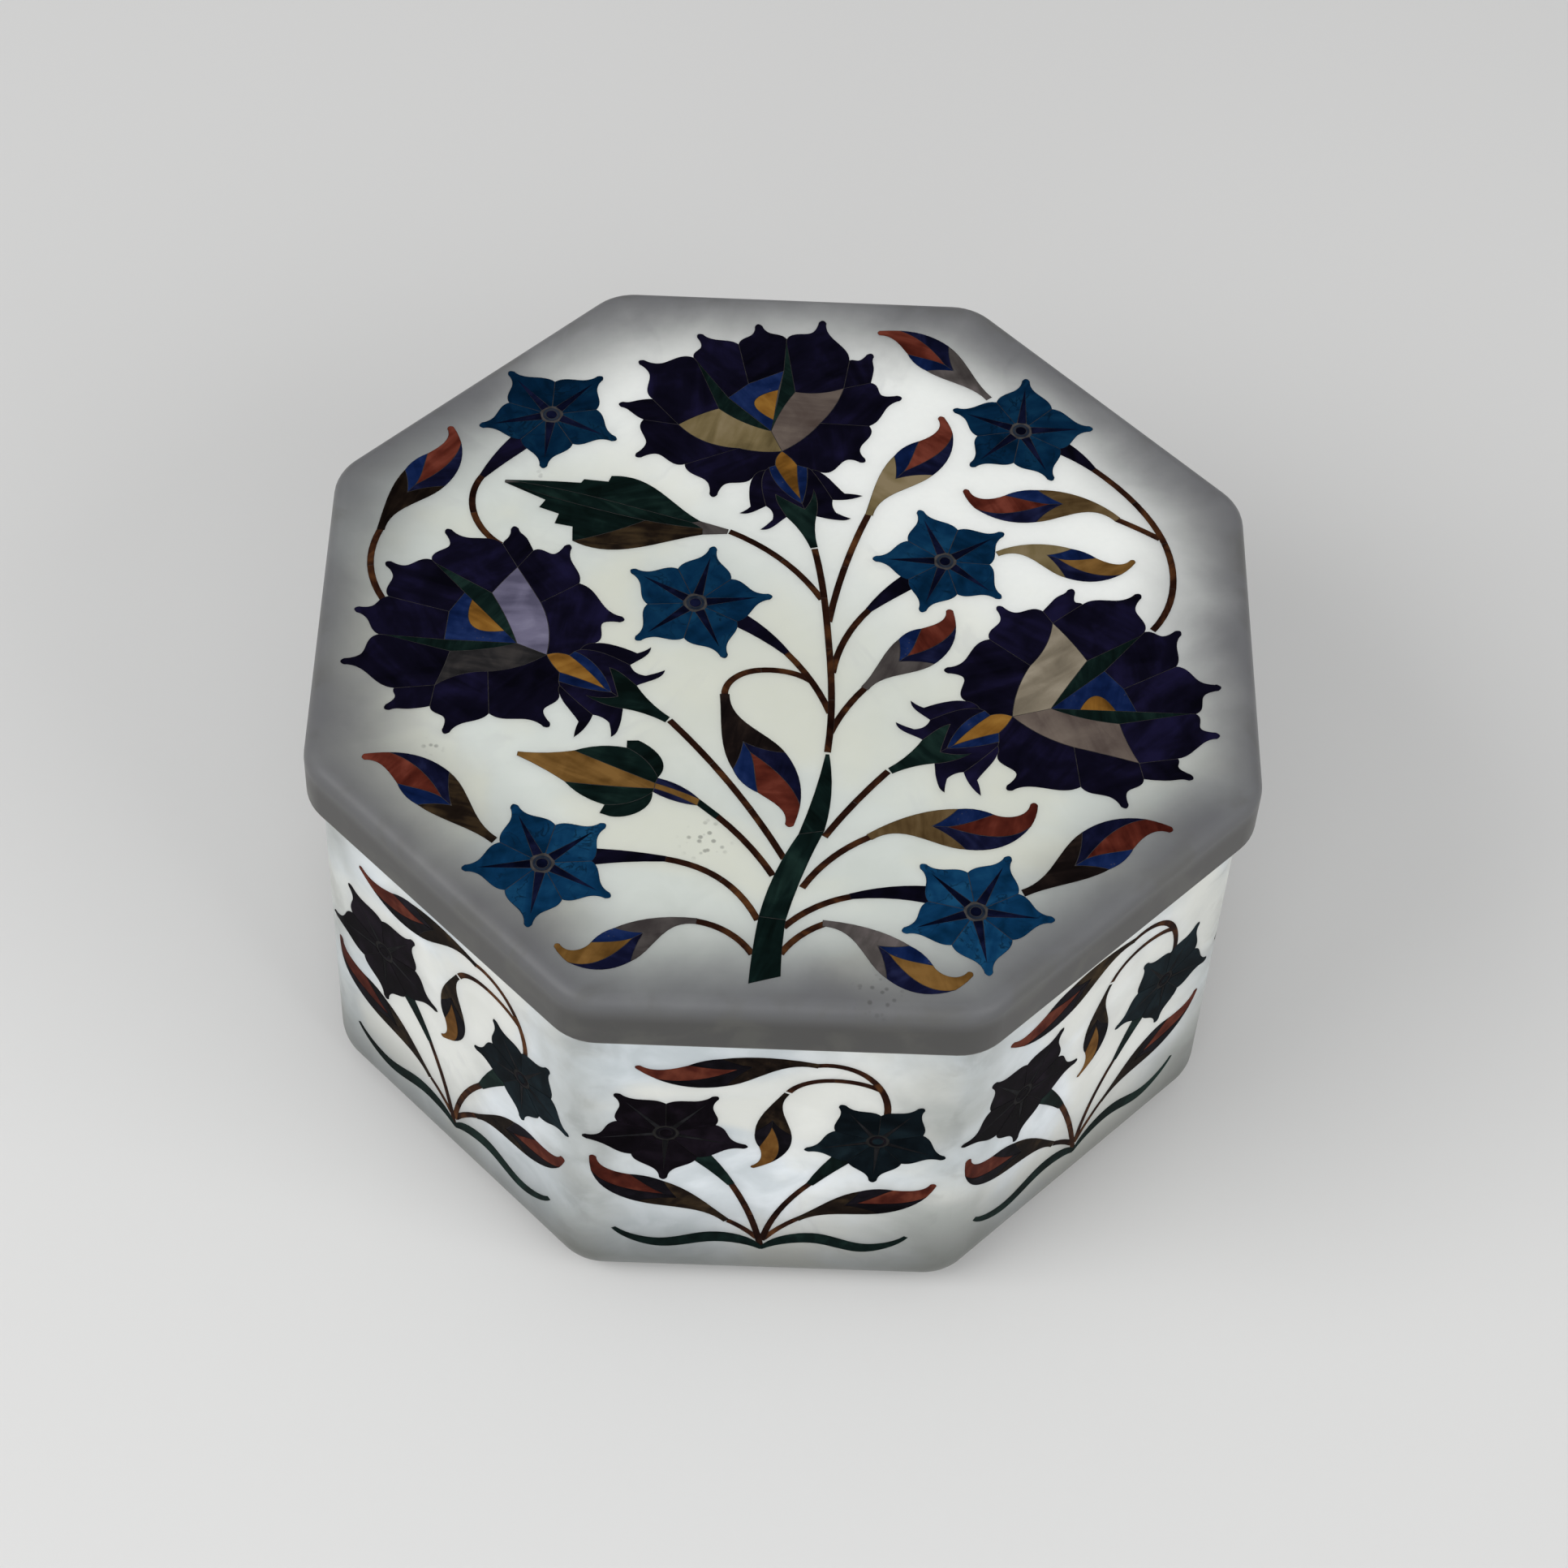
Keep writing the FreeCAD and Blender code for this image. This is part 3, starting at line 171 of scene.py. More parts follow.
def marble(name, heart, cloud, warm, rim_at, rim, corners, foot_at, foot, back_right_glow=None, pitted=()):
    """Polished white marble: cloudy, faintly veined, with sugary crystals and a few pits.

    It yellows in patches to the colour warm. Outside, shade is painted in: it greys outwards across
    the distances in rim_at and downwards across the heights in foot_at, so that its middle looks
    lit from within. The distances are square to the facets where corners is 0, and from the middle
    line where it is 1. Near the outer edge it darkens in patches, also painted shade. Towards the
    back right it pales to a lighter colour given for that side, painted light as if lit from within
    there. Pits crowd round the points in pitted.
    """
    material, grain = new_finish(name)
    place = grain.node("ShaderNodeTexCoord", {}, {}, "Object")
    level = {"Vector": place, "Vector_001": (1, 1, 0)}
    plan = grain.node("ShaderNodeVectorMath", {"operation": "MULTIPLY"}, level, "Vector")
    radius = grain.node("ShaderNodeVectorMath", {"operation": "LENGTH"}, {"Vector": plan}, "Value")
    sideways = abs(grain.along(place, "X"))
    endways = abs(grain.along(place, "Y"))
    slantways = (sideways + endways) * math.sqrt(0.5)
    square = sideways.larger(endways).larger(slantways)
    reach = square + (radius - square) * corners
    height = grain.along(place, "Z")
    inside = grain.node("ShaderNodeAttribute", {"attribute_name": "ground"}, {}, "Fac")

    broad = grain.noise(place, cloud_width, 5.0, 0.4)
    patch = grain.noise(place, patch_width, 4.0, 0.8)
    tone = broad.rising(0.36, 0.66) * 0.65 + patch.rising(0.35, 0.7) * 0.35
    colour = tone.blend(cloud, heart)
    cream = grain.noise(place, cream_width, 3.0, 0.6).rising(0.44, 0.62)
    colour = (cream * 0.7).blend(colour, warm)
    # Painted light: paler towards the back right, as if lit from within there.
    if back_right_glow:
        slope = {"Vector": place, "Vector_001": (0.5, 0.87, 0.0)}
        lean = grain.node("ShaderNodeVectorMath", {"operation": "DOT_PRODUCT"}, slope, "Value")
        colour = (lean.rising(-0.003, 0.031) * 0.85).blend(colour, back_right_glow)

    ridge = abs(grain.noise(place, vein_apart, 6.0, 1.6) - 0.5)
    vein = (1.0 - ridge.rising(0.0, 0.035)) * broad.rising(0.45, 0.62) * 0.22
    colour = vein.blend(colour, (0.47, 0.48, 0.49))

    crystal = {"Vector": place, "Scale": 1.0 / crystal_width}
    sugar = grain.node("ShaderNodeTexVoronoi", {"feature": "F1"}, crystal, "Color")
    sparkle = grain.node("ShaderNodeSeparateColor", {}, {"Color": sugar}, "Red")
    colour = (sparkle * 0.05).blend(colour, (0.62, 0.64, 0.65))

    specks = {"Vector": place, "Scale": 1.0 / pit_apart, "Randomness": 1.0}
    speck = grain.node("ShaderNodeTexVoronoi", {"feature": "F1"}, specks, "Distance")
    worn = grain.noise(place, worn_width, 2.0).rising(0.73, 0.79)
    for spot in pitted:
        apart = {"Vector": place, "Vector_001": spot}
        away = grain.node("ShaderNodeVectorMath", {"operation": "DISTANCE"}, apart, "Value")
        worn = worn + (1.0 - away.rising(0.0016, 0.0042))
    pit = (1.0 - speck.rising(0.18, 0.40)) * worn

    # Painted shade: greyer outwards to the rim and down to the foot, on the outside only.
    drift = (broad - 0.5) * 0.012
    outside = 1.0 - inside
    colour = ((reach + drift).rising(*rim_at) * outside * 0.95).blend(colour, rim)
    colour = ((1.0 - height.rising(*foot_at)) * outside * 0.87).blend(colour, foot)
    # Painted shade in patches along the outer edge.
    edge_shade_patches = grain.noise(place, edge_shade_patch_width, 4.0, 0.5).rising(0.45, 0.66)
    edge = reach.rising(rim_at[1] - 0.004, rim_at[1])
    colour = (edge_shade_patches * edge * outside * 0.42).blend(colour, (0.10, 0.099, 0.088))
    colour = (pit * 0.5).blend(colour, (0.05, 0.05, 0.048))
    colour = (inside * 0.55).blend(colour, (0.60, 0.60, 0.58))

    depth = inside * grain.noise(place, 0.0006, 2.0) * 2.0 - pit * 1.5
    relief = {"Height": depth, "Strength": 0.035, "Distance": 0.0002}
    grain.surface(
        {
            "Base Color": colour,
            "Roughness": 0.36 + pit * 0.3 + inside * 0.25,
            "Normal": grain.node("ShaderNodeBump", {}, relief, "Normal"),
            "Subsurface Weight": 0.35,
            "Subsurface Radius": (1.0, 0.97, 0.92),
            "Subsurface Scale": 0.004,
            "Specular IOR Level": 0.2,
        }
    )
    return material


def joined_copy(node, name):
    """A copy of a carried-over mesh with its triangles joined, and sharp edges at its corners."""
    shape = bmesh.new()
    shape.from_mesh(cad_nodes[node].data)
    bmesh.ops.remove_doubles(shape, verts=shape.verts, dist=1e-7)
    for face in shape.faces:
        face.smooth = True
    for edge in shape.edges:
        edge.smooth = edge.is_manifold and edge.calc_face_angle(0.0) < math.radians(28)
    mesh = bpy.data.meshes.new(name)
    shape.to_mesh(mesh)
    shape.free()
    for layer in ("custom_normal", "sharp_face"):
        if layer in mesh.attributes:
            mesh.attributes.remove(mesh.attributes[layer])
    piece = bpy.data.objects.new(name, mesh)
    bpy.context.scene.collection.objects.link(piece)
    return piece


def mark_ground(piece, is_inside):
    """Marks the faces that were ground but not polished."""
    faces = piece.data.polygons
    layer = piece.data.attributes.new("ground", "FLOAT", "FACE")
    layer.data.foreach_set("value", [1.0 if is_inside(face) else 0.0 for face in faces])


def even_shading(piece):
    """Lets the flats rule the shading of the rounded edges beside them."""
    weighted = piece.modifiers.new("flats", "WEIGHTED_NORMAL")
    weighted.mode = "FACE_AREA"
    weighted.weight = 100
    weighted.keep_sharp = True


def facet_reach(point):
    """How far a point lies from the box's middle line, square to the nearest facet."""
    turns = [k * math.pi / 4 for k in range(8)]
    return max(point.x * math.cos(turn) + point.y * math.sin(turn) for turn in turns)


box_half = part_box("box_body")[1].x
box_wall = 0.0064

box = joined_copy("box_body", "box_block")
mark_ground(
    box,
    lambda face: facet_reach(face.center) < box_half - box_wall and face.center.z > box_wall,
)
even_shading(box)
box_marble = marble(
    "box_marble",
    heart=(0.83, 0.88, 0.92),
    cloud=(0.51, 0.56, 0.585),
    warm=(0.73, 0.725, 0.655),
    # Painted shade: grey at the corners (rim) and dark towards the bottom (foot).
    rim_at=(0.0625, 0.0675),
    rim=(0.37, 0.39, 0.375),
    corners=1.0,
    foot_at=(0.002, 0.026),
    foot=(0.080, 0.083, 0.074),
)
box.data.materials.append(box_marble)
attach(box, "base")
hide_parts("box_body")


# Cement in the panels' joints
# Lime cement is rubbed into every cell before its stone is pressed home, and ground off level.
# With handling it has greyed, and here it is given far darker than on the lid as painted shade.
# It shows as a hairline round each stone, just below the face.


def cement(name, deep, pale):
    """Dull cement, greyed by wax and handling."""
    material, grain = new_finish(name)
    place = grain.node("ShaderNodeTexCoord", {}, {}, "Object")
    grit = grain.noise(place, 0.0009, 3.0)
    relief = {"Height": grit, "Distance": 0.0001}
    grain.surface(
        {
            "Base Color": grit.rising(0.3, 0.7).blend(deep, pale),
            "Roughness": 0.6 + grit * 0.25,
            "Normal": grain.node("ShaderNodeBump", {}, relief, "Normal"),
            "Specular IOR Level": 0.1,
        }
    )
    return material


def cell_floors(node, outward, level):
    """The floors of the cells cut to that level in a face of the marble, as one flat mesh."""
    shape = bmesh.new()
    shape.from_mesh(cad_nodes[node].data)
    bmesh.ops.remove_doubles(shape, verts=shape.verts, dist=1e-7)
    floors = {
        face
        for face in shape.faces
        if face.normal.dot(outward) > 0.999
        and abs(face.calc_center_median().dot(outward) - level) < 2e-5
    }
    others = [face for face in shape.faces if face not in floors]
    bmesh.ops.delete(shape, geom=others, context="FACES")
    return shape


def filled(shape, name, outward, rise, thick):
    """Lifts flat floors to just below the face and gives them thickness, as bars of cement."""
    for vert in shape.verts:
        vert.co += outward * rise(vert.co)
    upper = bmesh.ops.extrude_face_region(shape, geom=list(shape.faces))["geom"]
    for part in upper:
        if isinstance(part, bmesh.types.BMVert):
            part.co += outward * thick
    bmesh.ops.recalc_face_normals(shape, faces=shape.faces)
    mesh = bpy.data.meshes.new(name)
    shape.to_mesh(mesh)
    shape.free()
    if "custom_normal" in mesh.attributes:
        mesh.attributes.remove(mesh.attributes["custom_normal"])
    return mesh


joint_sunk = 0.00005
corner_sunk = 0.00045
cement_thick = 0.0004
panel_cell_depth = 0.0018
panel_flat = 0.0215
panel_front = Vector((0, -1, 0))
# Painted shade: the same cement as on the lid, given far darker for the panels.
shaded_panel_joint_cement = cement(
    "shaded_panel_joint_cement", deep=(0.006, 0.0055, 0.0055), pale=(0.014, 0.013, 0.0125)
)


def panel_rise(spot):
    """How far a panel's cement stands above its cell, less where the facet rounds away."""
    sunk = corner_sunk if abs(spot.x) > panel_flat else joint_sunk
    return panel_cell_depth - cement_thick - sunk


panel_mesh = filled(
    cell_floors("box_body", panel_front, box_half - panel_cell_depth),
    "panel_cement_bars",
    panel_front,
    panel_rise,
    cement_thick,
)

round_tree = bpy.data.node_groups.new("round_the_box", "GeometryNodeTree")
ends = round_tree.interface
ends.new_socket("Bars", in_out="INPUT", socket_type="NodeSocketGeometry")
facet_count = ends.new_socket("Facets", in_out="INPUT", socket_type="NodeSocketInt")
bar_finish = ends.new_socket("Finish", in_out="INPUT", socket_type="NodeSocketMaterial")
ends.new_socket("Panels", in_out="OUTPUT", socket_type="NodeSocketGeometry")

tree_in = round_tree.nodes.new("NodeGroupInput")
tree_out = round_tree.nodes.new("NodeGroupOutput")
middles = round_tree.nodes.new("GeometryNodePoints")
which = round_tree.nodes.new("GeometryNodeInputIndex")
share = round_tree.nodes.new("ShaderNodeMath")
share.operation = "DIVIDE"
turn = round_tree.nodes.new("ShaderNodeMath")
turn.operation = "MULTIPLY"
turn.inputs[1].default_value = 2 * math.pi
about_up = round_tree.nodes.new("ShaderNodeCombineXYZ")
copies = round_tree.nodes.new("GeometryNodeInstanceOnPoints")
solid = round_tree.nodes.new("GeometryNodeRealizeInstances")
coat = round_tree.nodes.new("GeometryNodeSetMaterial")
for giver, taker in (
    (tree_in.outputs["Facets"], middles.inputs["Count"]),
    (which.outputs["Index"], share.inputs[0]),
    (tree_in.outputs["Facets"], share.inputs[1]),
    (share.outputs["Value"], turn.inputs[0]),
    (turn.outputs["Value"], about_up.inputs["Z"]),
    (middles.outputs["Points"], copies.inputs["Points"]),
    (tree_in.outputs["Bars"], copies.inputs["Instance"]),
    (about_up.outputs["Vector"], copies.inputs["Rotation"]),
    (copies.outputs["Instances"], solid.inputs["Geometry"]),
    (solid.outputs["Geometry"], coat.inputs["Geometry"]),
    (tree_in.outputs["Finish"], coat.inputs["Material"]),
    (coat.outputs["Geometry"], tree_out.inputs["Panels"]),
):
    round_tree.links.new(giver, taker)

panel_cement = bpy.data.objects.new("panel_cement", panel_mesh)
bpy.context.scene.collection.objects.link(panel_cement)
around = panel_cement.modifiers.new("round_the_box", "NODES")
around.node_group = round_tree
around[facet_count.identifier] = 8
around[bar_finish.identifier] = shaded_panel_joint_cement
shown = panel_cement.evaluated_get(bpy.context.evaluated_depsgraph_get())
all_round = bpy.data.meshes.new_from_object(shown)
panel_cement.modifiers.clear()
panel_cement.data = all_round
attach(panel_cement, "base")


# Stones of the panels
# Thin slips of hard stone, sawn with a wire bow, filed to the cell and set flush in all eight
# facets: a plum and a teal star flower, buds, necks, grass and stems. No two slips are alike.


def cut_stone(name, deep, middle, pale, cloud, band, vein=None, fleck=None):
    """Polished stone, each slip cut from another place in the rough and turned its own way.

    cloud is the width of its blotches and band the width of its stripes. vein is the colour of
    a fine dark matrix, and fleck that of bright grains.
    """
    material, grain = new_finish(name)
    place = grain.node("ShaderNodeTexCoord", {}, {}, "Object")
    slip = grain.node("ShaderNodeNewGeometry", {}, {}, "Random Per Island")
    shift = {"X": slip * 0.71, "Y": slip * 0.37, "Z": slip * 0.53}
    aside = grain.node("ShaderNodeCombineXYZ", {}, shift, "Vector")
    moved = {"Vector": place, "Vector_001": aside}
    rough = grain.node("ShaderNodeVectorMath", {"operation": "ADD"}, moved, "Vector")
    turned = {"Vector": rough, "Angle": slip * 19.0}
    lie = grain.node("ShaderNodeVectorRotate", {"rotation_type": "Z_AXIS"}, turned, "Vector")
    drawn = {"Vector": lie, "Scale": (1.0, 0.16, 0.5)}
    length = grain.node("ShaderNodeMapping", {}, drawn, "Vector")

    blotch = grain.noise(rough, cloud, 5.0, 0.5)
    stripe = grain.noise(length, band, 4.0, 0.6)
    tone = (blotch - 0.5) * 1.3 + (stripe - 0.5) * 1.1 + (slip - 0.5) * 0.34 + 0.5
    stops = [(0.12, deep), (0.5, middle), (0.92, pale)]
    colour = grain.node("ShaderNodeValToRGB", {"stops": stops}, {"Fac": tone}, "Color")
    dull = blotch * 0.12

    if vein:
        web = grain.noise(rough, cloud * 1.7, 6.0, 1.2) - 0.5
        thread = 1.0 - abs(web).rising(0.0, 0.022)
        thread = thread * stripe.rising(0.4, 0.62)
        colour = (thread * 0.75).blend(colour, vein)
        dull = dull + thread * 0.15
    if fleck:
        dots = {"Vector": rough, "Scale": 1700.0}
        dot = grain.node("ShaderNodeTexVoronoi", {"feature": "F1"}, dots, "Distance")
        grainy = (1.0 - dot.rising(0.12, 0.26)) * blotch.rising(0.52, 0.66)
        colour = (grainy * 0.8).blend(colour, fleck)
    swell = grain.noise(rough, 0.0022, 2.0)
    relief = {"Height": swell, "Strength": 0.08, "Distance": 0.0002}
    grain.surface(
        {
            "Base Color": colour,
            "Roughness": 0.24 + dull,
            "Normal": grain.node("ShaderNodeBump", {}, relief, "Normal"),
            "Specular IOR Level": 0.006,
        }
    )
    return material


def set_stones(node, body, finish, slot):
    """The slips of one kind, in place in their cells."""
    slips = joined_copy(node, node + "_slips")
    slips.data.materials.append(finish)
    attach(slips, body)
    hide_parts(node)


plum_stone = cut_stone(
    "plum_stone",
    deep=(0.0016, 0.0011, 0.0018),
    middle=(0.0034, 0.0022, 0.0039),
    pale=(0.009, 0.006, 0.0105),
    cloud=0.004,
    band=0.002,
)
teal_stone = cut_stone(
    "teal_stone",
    deep=(0.0014, 0.003, 0.0045),
    middle=(0.003, 0.0065, 0.0093),
    pale=(0.007, 0.015, 0.02),
    cloud=0.004,
    band=0.002,
)
ray_stone = cut_stone(
    "ray_stone",
    deep=(0.004, 0.004, 0.0047),
    middle=(0.0083, 0.0083, 0.0094),
    pale=(0.017, 0.017, 0.019),
    cloud=0.002,
    band=0.001,
)
green_stone = cut_stone(
    "green_stone",
    deep=(0.0018, 0.0042, 0.0037),
    middle=(0.0036, 0.0095, 0.0086),
    pale=(0.0098, 0.024, 0.02),
    cloud=0.005,
    band=0.0012,
)
# Painted shade: a darker copy of the lid buds' red (coral_stone), for the panels.
shaded_red_stone = cut_stone(
    "shaded_red_stone",
    deep=(0.028, 0.0056, 0.0038),
    middle=(0.062, 0.013, 0.0082),
    pale=(0.125, 0.033, 0.019),
    cloud=0.004,
    band=0.0016,
)
amber_stone = cut_stone(
    "amber_stone",
    deep=(0.054, 0.024, 0.0058),
    middle=(0.12, 0.053, 0.0125),
    pale=(0.19, 0.098, 0.027),
    cloud=0.004,
    band=0.0016,
)
deep_blue_stone = cut_stone(
    "deep_blue_stone",
    deep=(0.0026, 0.0031, 0.011),
    middle=(0.0053, 0.0062, 0.023),
    pale=(0.013, 0.016, 0.051),
    cloud=0.003,
    band=0.0015,
)
navy_stone = cut_stone(
    "navy_stone",
    deep=(0.0013, 0.0018, 0.0062),
    middle=(0.0026, 0.0037, 0.014),
    pale=(0.007, 0.0088, 0.031),
    cloud=0.003,
    band=0.0015,
)
jet_stone = cut_stone(
    "jet_stone",
    deep=(0.002, 0.0017, 0.0024),
    middle=(0.0045, 0.0038, 0.0058),
    pale=(0.011, 0.0085, 0.013),
    cloud=0.003,
    band=0.0015,
)
brown_stone = cut_stone(
    "brown_stone",
    deep=(0.004, 0.0026, 0.0022),
    middle=(0.0108, 0.007, 0.005),
    pale=(0.042, 0.027, 0.0135),
    cloud=0.004,
    band=0.0011,
)
stem_stone = cut_stone(
    "stem_stone",
    deep=(0.0065, 0.0025, 0.002),
    middle=(0.022, 0.008, 0.0048),
    pale=(0.09, 0.035, 0.0125),
    cloud=0.004,
    band=0.0015,
)

set_stones("panel_star_plum", "base", plum_stone, "plum")
set_stones("panel_star_teal", "base", teal_stone, "teal")
set_stones("panel_star_rays", "base", ray_stone, "eye_grey")
set_stones("panel_star_eyes", "base", jet_stone, "eye_grey")
set_stones("panel_necks", "base", green_stone, "green")
set_stones("panel_grass", "base", green_stone, "green")
set_stones("panel_flames_red", "base", shaded_red_stone, "red")
set_stones("panel_flames_amber", "base", amber_stone, "amber")
set_stones("panel_bud_cheeks", "base", jet_stone, "deep_blue")
set_stones("panel_bud_sheaths", "base", brown_stone, "brown")
set_stones("panel_stems", "base", stem_stone, "stem_brown")


# Lid
# A slab of the same marble with rounded edges, thinned from below. The light coming through its
# middle is painted into its colour, with painted shade round its rim and lower edge. A low lip
# under it drops into the mouth of the box and keeps it in place.
lid_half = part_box("lid")[1].x
lid_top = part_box("lid")[1].z
lid_cell_floor = 0.0045
lid_edge = 0.004

lid = joined_copy("lid", "lid_slab")
mark_ground(
    lid,
    lambda face: face.center.z < lid_top - lid_cell_floor
    and face.normal.z < 0.5
    and (face.normal.z < -0.99 or facet_reach(face.center) < lid_half - lid_edge),
)
even_shading(lid)
lid_marble = marble(
    "lid_marble",
    heart=(0.69, 0.73, 0.69),
    cloud=(0.60, 0.64, 0.60),
    warm=(0.68, 0.69, 0.59),
    # Painted shade at the rim and the lower edge (foot), and painted light at the back right.
    rim_at=(0.0440, 0.0638),
    rim=(0.110, 0.111, 0.121),
    corners=0.25,
    foot_at=(0.0652, 0.0698),
    foot=(0.052, 0.050, 0.047),
    back_right_glow=(0.95, 0.97, 0.94),
    pitted=((-0.0100, -0.0370, lid_top), (0.0125, -0.0605, lid_top)),
)
lid.data.materials.append(lid_marble)
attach(lid, "cover")
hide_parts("lid")


# Cement in the lid's joints
# The same lime cement fills the hairline joints of the picture on the lid, and is ground off
# level with it. It is paler here, as the panels' cement is darkened as painted shade.
lid_cell_depth = 0.002
lid_joint_cement = cement(
    "lid_joint_cement", deep=(0.032, 0.03, 0.03), pale=(0.062, 0.057, 0.055)
)
upward = Vector((0, 0, 1))

lid_cement = bpy.data.objects.new(
    "lid_cement",
    filled(
        cell_floors("lid", upward, lid_top - lid_cell_depth),
        "lid_cement_bars",
        upward,
        lambda spot: lid_cell_depth - joint_sunk - cement_thick,
        cement_thick,
    ),
)
bpy.context.scene.collection.objects.link(lid_cement)
lid_cement.data.materials.clear()
lid_cement.data.materials.append(lid_joint_cement)
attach(lid_cement, "cover")


# Trunk, stems and leaf
# The plant springs from a trunk of dark green stone in three lengths. Its stems are many short
# slips of red-brown stone end to end, and the leaf has three green blades beside a brown one.
mauve_shell = cut_stone(
    "mauve_shell",
    deep=(0.038, 0.032, 0.032),
    middle=(0.069, 0.061, 0.058),
    pale=(0.13, 0.11, 0.11),
    cloud=0.005,
    band=0.0018,
)

set_stones("trunk", "cover", green_stone, "green")
set_stones("stems", "cover", stem_stone, "stem_brown")
set_stones("leaf_green", "cover", green_stone, "green")
set_stones("leaf_brown", "cover", brown_stone, "brown")
set_stones("leaf_foot", "cover", mauve_shell, "cream")


# Roses
# Ten horned petals of near-black violet stone round a heart of green, blue and amber, with two
# petals of pale shell in front. The calyx has dark fingers, a forked cone and coloured strips.
violet_stone = cut_stone(
    "violet_stone",
    deep=(0.0019, 0.0017, 0.0042),
    middle=(0.004, 0.0034, 0.0105),
    pale=(0.0088, 0.0074, 0.029),
    cloud=0.005,
    band=0.0025,
)
blue_stone = cut_stone(
    "blue_stone",
    deep=(0.002, 0.0058, 0.027),
    middle=(0.0042, 0.012, 0.054),
    pale=(0.011, 0.024, 0.09),
    cloud=0.003,
    band=0.0018,
    fleck=(0.045, 0.045, 0.063),
)
gold_stone = cut_stone(
    "gold_stone",
    deep=(0.085, 0.037, 0.0064),
    middle=(0.19, 0.085, 0.015),
    pale=(0.28, 0.14, 0.028),
    cloud=0.004,
    band=0.0016,
)
cream_shell = cut_stone(
    "cream_shell",
    deep=(0.088, 0.066, 0.029),
    middle=(0.158, 0.12, 0.057),
    pale=(0.23, 0.18, 0.105),
    cloud=0.006,
    band=0.0022,
)
bone_shell = cut_stone(
    "bone_shell",
    deep=(0.12, 0.1, 0.073),
    middle=(0.2, 0.17, 0.125),
    pale=(0.3, 0.26, 0.2),
    cloud=0.006,
    band=0.0022,
)
lilac_shell = cut_stone(
    "lilac_shell",
    deep=(0.08, 0.075, 0.12),
    middle=(0.145, 0.135, 0.205),
    pale=(0.24, 0.23, 0.32),
    cloud=0.006,
    band=0.0022,
)
grey_stone = cut_stone(
    "grey_stone",
    deep=(0.0083, 0.0083, 0.0083),
    middle=(0.019, 0.018, 0.019),
    pale=(0.045, 0.04, 0.038),
    cloud=0.004,
    band=0.0016,
)
rose_shell = cut_stone(
    "rose_shell",
    deep=(0.056, 0.039, 0.033),
    middle=(0.09, 0.069, 0.06),
    pale=(0.15, 0.12, 0.1),
    cloud=0.006,
    band=0.0022,
)

pale_petals = {
    "top": ((cream_shell, "cream"), (rose_shell, "rose_cream")),
    "left": ((lilac_shell, "lilac"), (grey_stone, "stone_grey")),
    "right": ((bone_shell, "cream"), (rose_shell, "rose_cream")),
}
for place, (first, second) in pale_petals.items():
    set_stones(f"rose_{place}_petals", "cover", violet_stone, "violet_black")
    set_stones(f"rose_{place}_fingers", "cover", violet_stone, "violet_black")
    set_stones(f"rose_{place}_first_pale", "cover", *first)
    set_stones(f"rose_{place}_second_pale", "cover", *second)
    set_stones(f"rose_{place}_green", "cover", green_stone, "green")
    set_stones(f"rose_{place}_blue", "cover", blue_stone, "cobalt")
    set_stones(f"rose_{place}_amber", "cover", gold_stone, "amber")


# Star flowers
# Five petals of turquoise-blue stone with a fine dark matrix, parted by five dark blue rays
# that meet at a small ring with a dark dot in it. Each flower's turquoise is made lighter the
# nearer it stands to the front: painted light.
eye_stone = cut_stone(
    "eye_stone",
    deep=(0.007, 0.011, 0.019),
    middle=(0.014, 0.02, 0.033),
    pale=(0.027, 0.034, 0.047),
    cloud=0.002,
    band=0.001,
)

# Painted light: the lightness of each star's turquoise rises towards the front.
front_lit_star_blues = {
    "north_west": 0.42,
    "north_east": 0.50,
    "middle_left": 0.60,
    "middle_right": 0.68,
    "south_west": 0.85,
    "south_east": 0.95,
}
for place, painted_lightness in front_lit_star_blues.items():
    turquoise_stone = cut_stone(
        f"turquoise_stone_{place}",
        deep=(0.0016 * painted_lightness, 0.018 * painted_lightness, 0.048 * painted_lightness),
        middle=(0.0036 * painted_lightness, 0.034 * painted_lightness, 0.092 * painted_lightness),
        pale=(0.0085 * painted_lightness, 0.062 * painted_lightness, 0.14 * painted_lightness),
        cloud=0.0032,
        band=0.0022,
        vein=(0.0022 * painted_lightness, 0.011 * painted_lightness, 0.026 * painted_lightness),
    )
    set_stones(f"star_{place}", "cover", turquoise_stone, "turquoise_blue")
set_stones("star_rays", "cover", navy_stone, "navy")
set_stones("star_eyes", "cover", eye_stone, "eye_grey")
set_stones("star_necks", "cover", violet_stone, "violet_black")


# Buds
# A flame of red or amber stone curls out between two blue cheeks, held in a sheath of brown,
# tan, cream or grey stone. One larger bud is green, with an ochre flame and a striped cup.
dark_brown_stone = cut_stone(
    "dark_brown_stone",
    deep=(0.0035, 0.0025, 0.0025),
    middle=(0.0078, 0.0053, 0.005),
    pale=(0.022, 0.014, 0.011),
    cloud=0.004,
    band=0.0011,
)
coral_stone = cut_stone(
    "coral_stone",
    deep=(0.038, 0.0064, 0.0044),
    middle=(0.085, 0.017, 0.0105),
    pale=(0.16, 0.039, 0.025),
    cloud=0.004,
    band=0.0016,
)
ochre_stone = cut_stone(
    "ochre_stone",
    deep=(0.055, 0.026, 0.007),
    middle=(0.11, 0.055, 0.014),
    pale=(0.19, 0.1, 0.029),
    cloud=0.004,
    band=0.0016,
)
tan_stone = cut_stone(
    "tan_stone",
    deep=(0.046, 0.026, 0.01),
    middle=(0.088, 0.055, 0.023),
    pale=(0.14, 0.096, 0.047),
    cloud=0.004,
    band=0.0012,
)

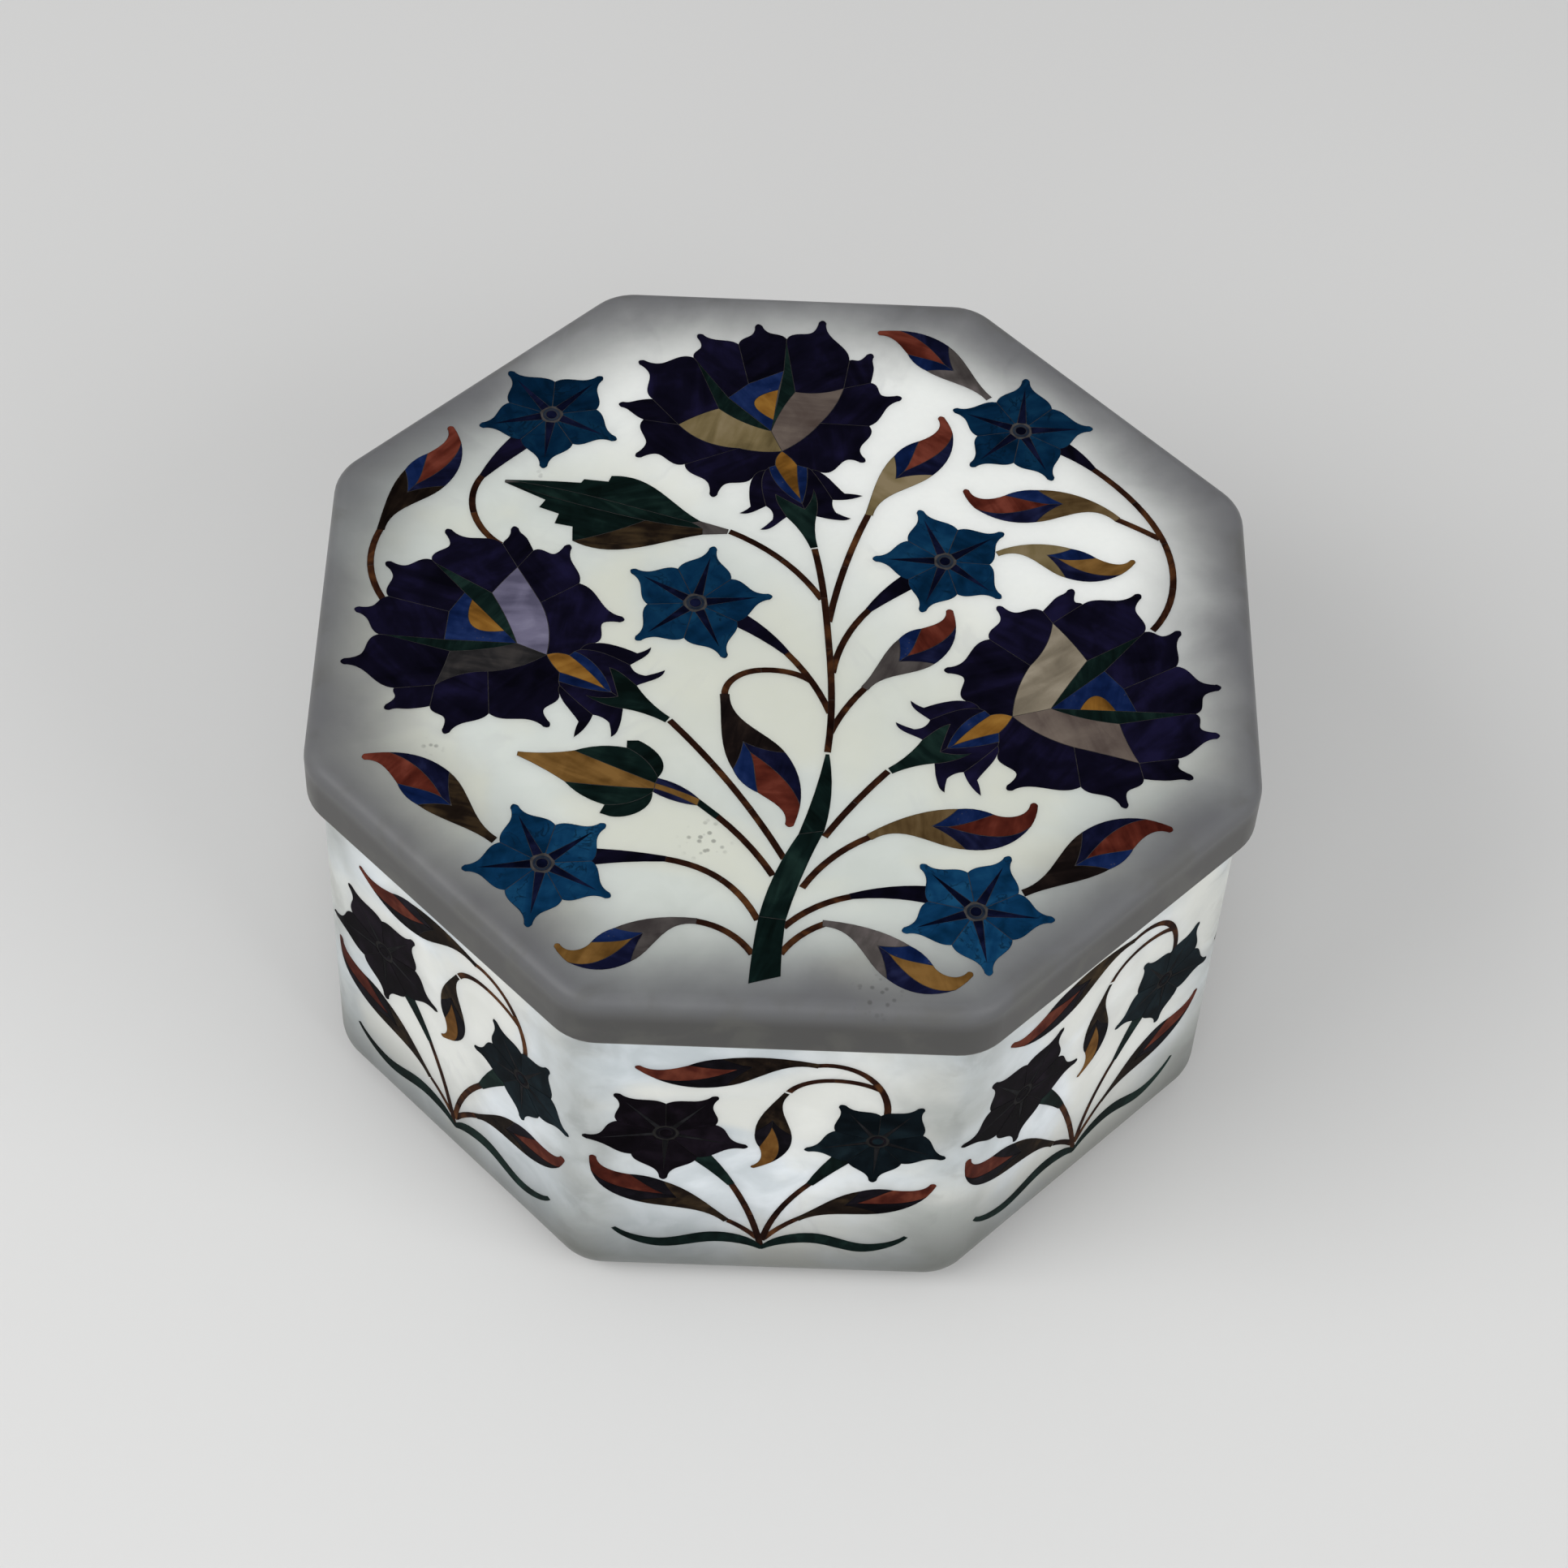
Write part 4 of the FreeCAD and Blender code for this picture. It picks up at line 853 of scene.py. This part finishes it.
for node, finish, slot in (
    ("bud_cheeks_bright", blue_stone, "cobalt"),
    ("bud_cheeks_deep", deep_blue_stone, "deep_blue"),
    ("bud_flames_red", coral_stone, "red"),
    ("bud_flames_amber", ochre_stone, "amber"),
    ("bud_sheaths_brown", brown_stone, "brown"),
    ("bud_sheaths_cream", cream_shell, "cream"),
    ("bud_sheaths_dark", dark_brown_stone, "dark_brown"),
    ("bud_sheaths_grey", mauve_shell, "mauve_grey"),
    ("bud_sheaths_tan", tan_stone, "tan"),
    ("green_bud_lobes", green_stone, "green"),
    ("green_bud_flame", ochre_stone, "amber"),
    ("green_bud_cup_blue", deep_blue_stone, "deep_blue"),
):
    set_stones(node, "cover", finish, slot)


# Floor, light and camera
# A plain pale table top under large soft lamps, seen from above the front facet.
floor_mesh = bpy.data.meshes.new("table_top")
floor_shape = bmesh.new()
bmesh.ops.create_grid(floor_shape, x_segments=2, y_segments=2, size=3.0)
floor_shape.to_mesh(floor_mesh)
floor_shape.free()
table_top = bpy.data.objects.new("table_top", floor_mesh)
bpy.context.scene.collection.objects.link(table_top)
table_top.location.z = cad_low.z
table_paint, paint_grain = new_finish("table_paint")
paint_grain.surface(
    {"Base Color": (0.74, 0.74, 0.735), "Roughness": 0.75, "Specular IOR Level": 0.2}
)
floor_mesh.materials.append(table_paint)

world = bpy.data.worlds.new("soft_room")
bpy.context.scene.world = world
world.use_nodes = True
world.node_tree.nodes["Background"].inputs["Color"].default_value = (1.0, 1.0, 1.0, 1.0)
world.node_tree.nodes["Background"].inputs["Strength"].default_value = 0.45

middle = Vector((0.0, 0.0, 0.04))
for name, spot, width, watts in (
    ("left_lamp", (-0.75, -0.35, 0.75), 0.7, 5.4),
    ("right_lamp", (0.70, -0.55, 0.55), 0.7, 3.7),
    ("front_lamp", (-0.10, -1.00, 0.70), 0.8, 2.6),
):
    lamp = bpy.data.lights.new(name, "AREA")
    lamp.shape = "SQUARE"
    lamp.size = width
    lamp.energy = watts
    holder = bpy.data.objects.new(name, lamp)
    bpy.context.scene.collection.objects.link(holder)
    holder.location = spot
    holder.rotation_euler = (Vector(spot) - middle).to_track_quat("Z", "Y").to_euler()

aim = Vector((0.000892, 0.002503, 0.03175))
sight = 0.56706
swing, height, roll = -0.03025, 0.90237, 0.06007
level = math.cos(height)
back = Vector((math.sin(swing) * level, -math.cos(swing) * level, math.sin(height)))
across = (-back).cross(Vector((0, 0, 1))).normalized()
over = across.cross(-back)
tilt_across = across * math.cos(roll) + over * math.sin(roll)
tilt_over = over * math.cos(roll) - across * math.sin(roll)
stand = Matrix((tilt_across, tilt_over, back)).transposed().to_4x4()
stand.translation = aim + back * sight
lens = bpy.data.cameras.new("camera")
lens.sensor_width = 36.0
lens.sensor_fit = "HORIZONTAL"
lens.lens = 90.72
camera = bpy.data.objects.new("camera", lens)
bpy.context.scene.collection.objects.link(camera)
camera.matrix_world = stand
bpy.context.scene.camera = camera

bpy.context.scene.view_settings.view_transform = "Standard"
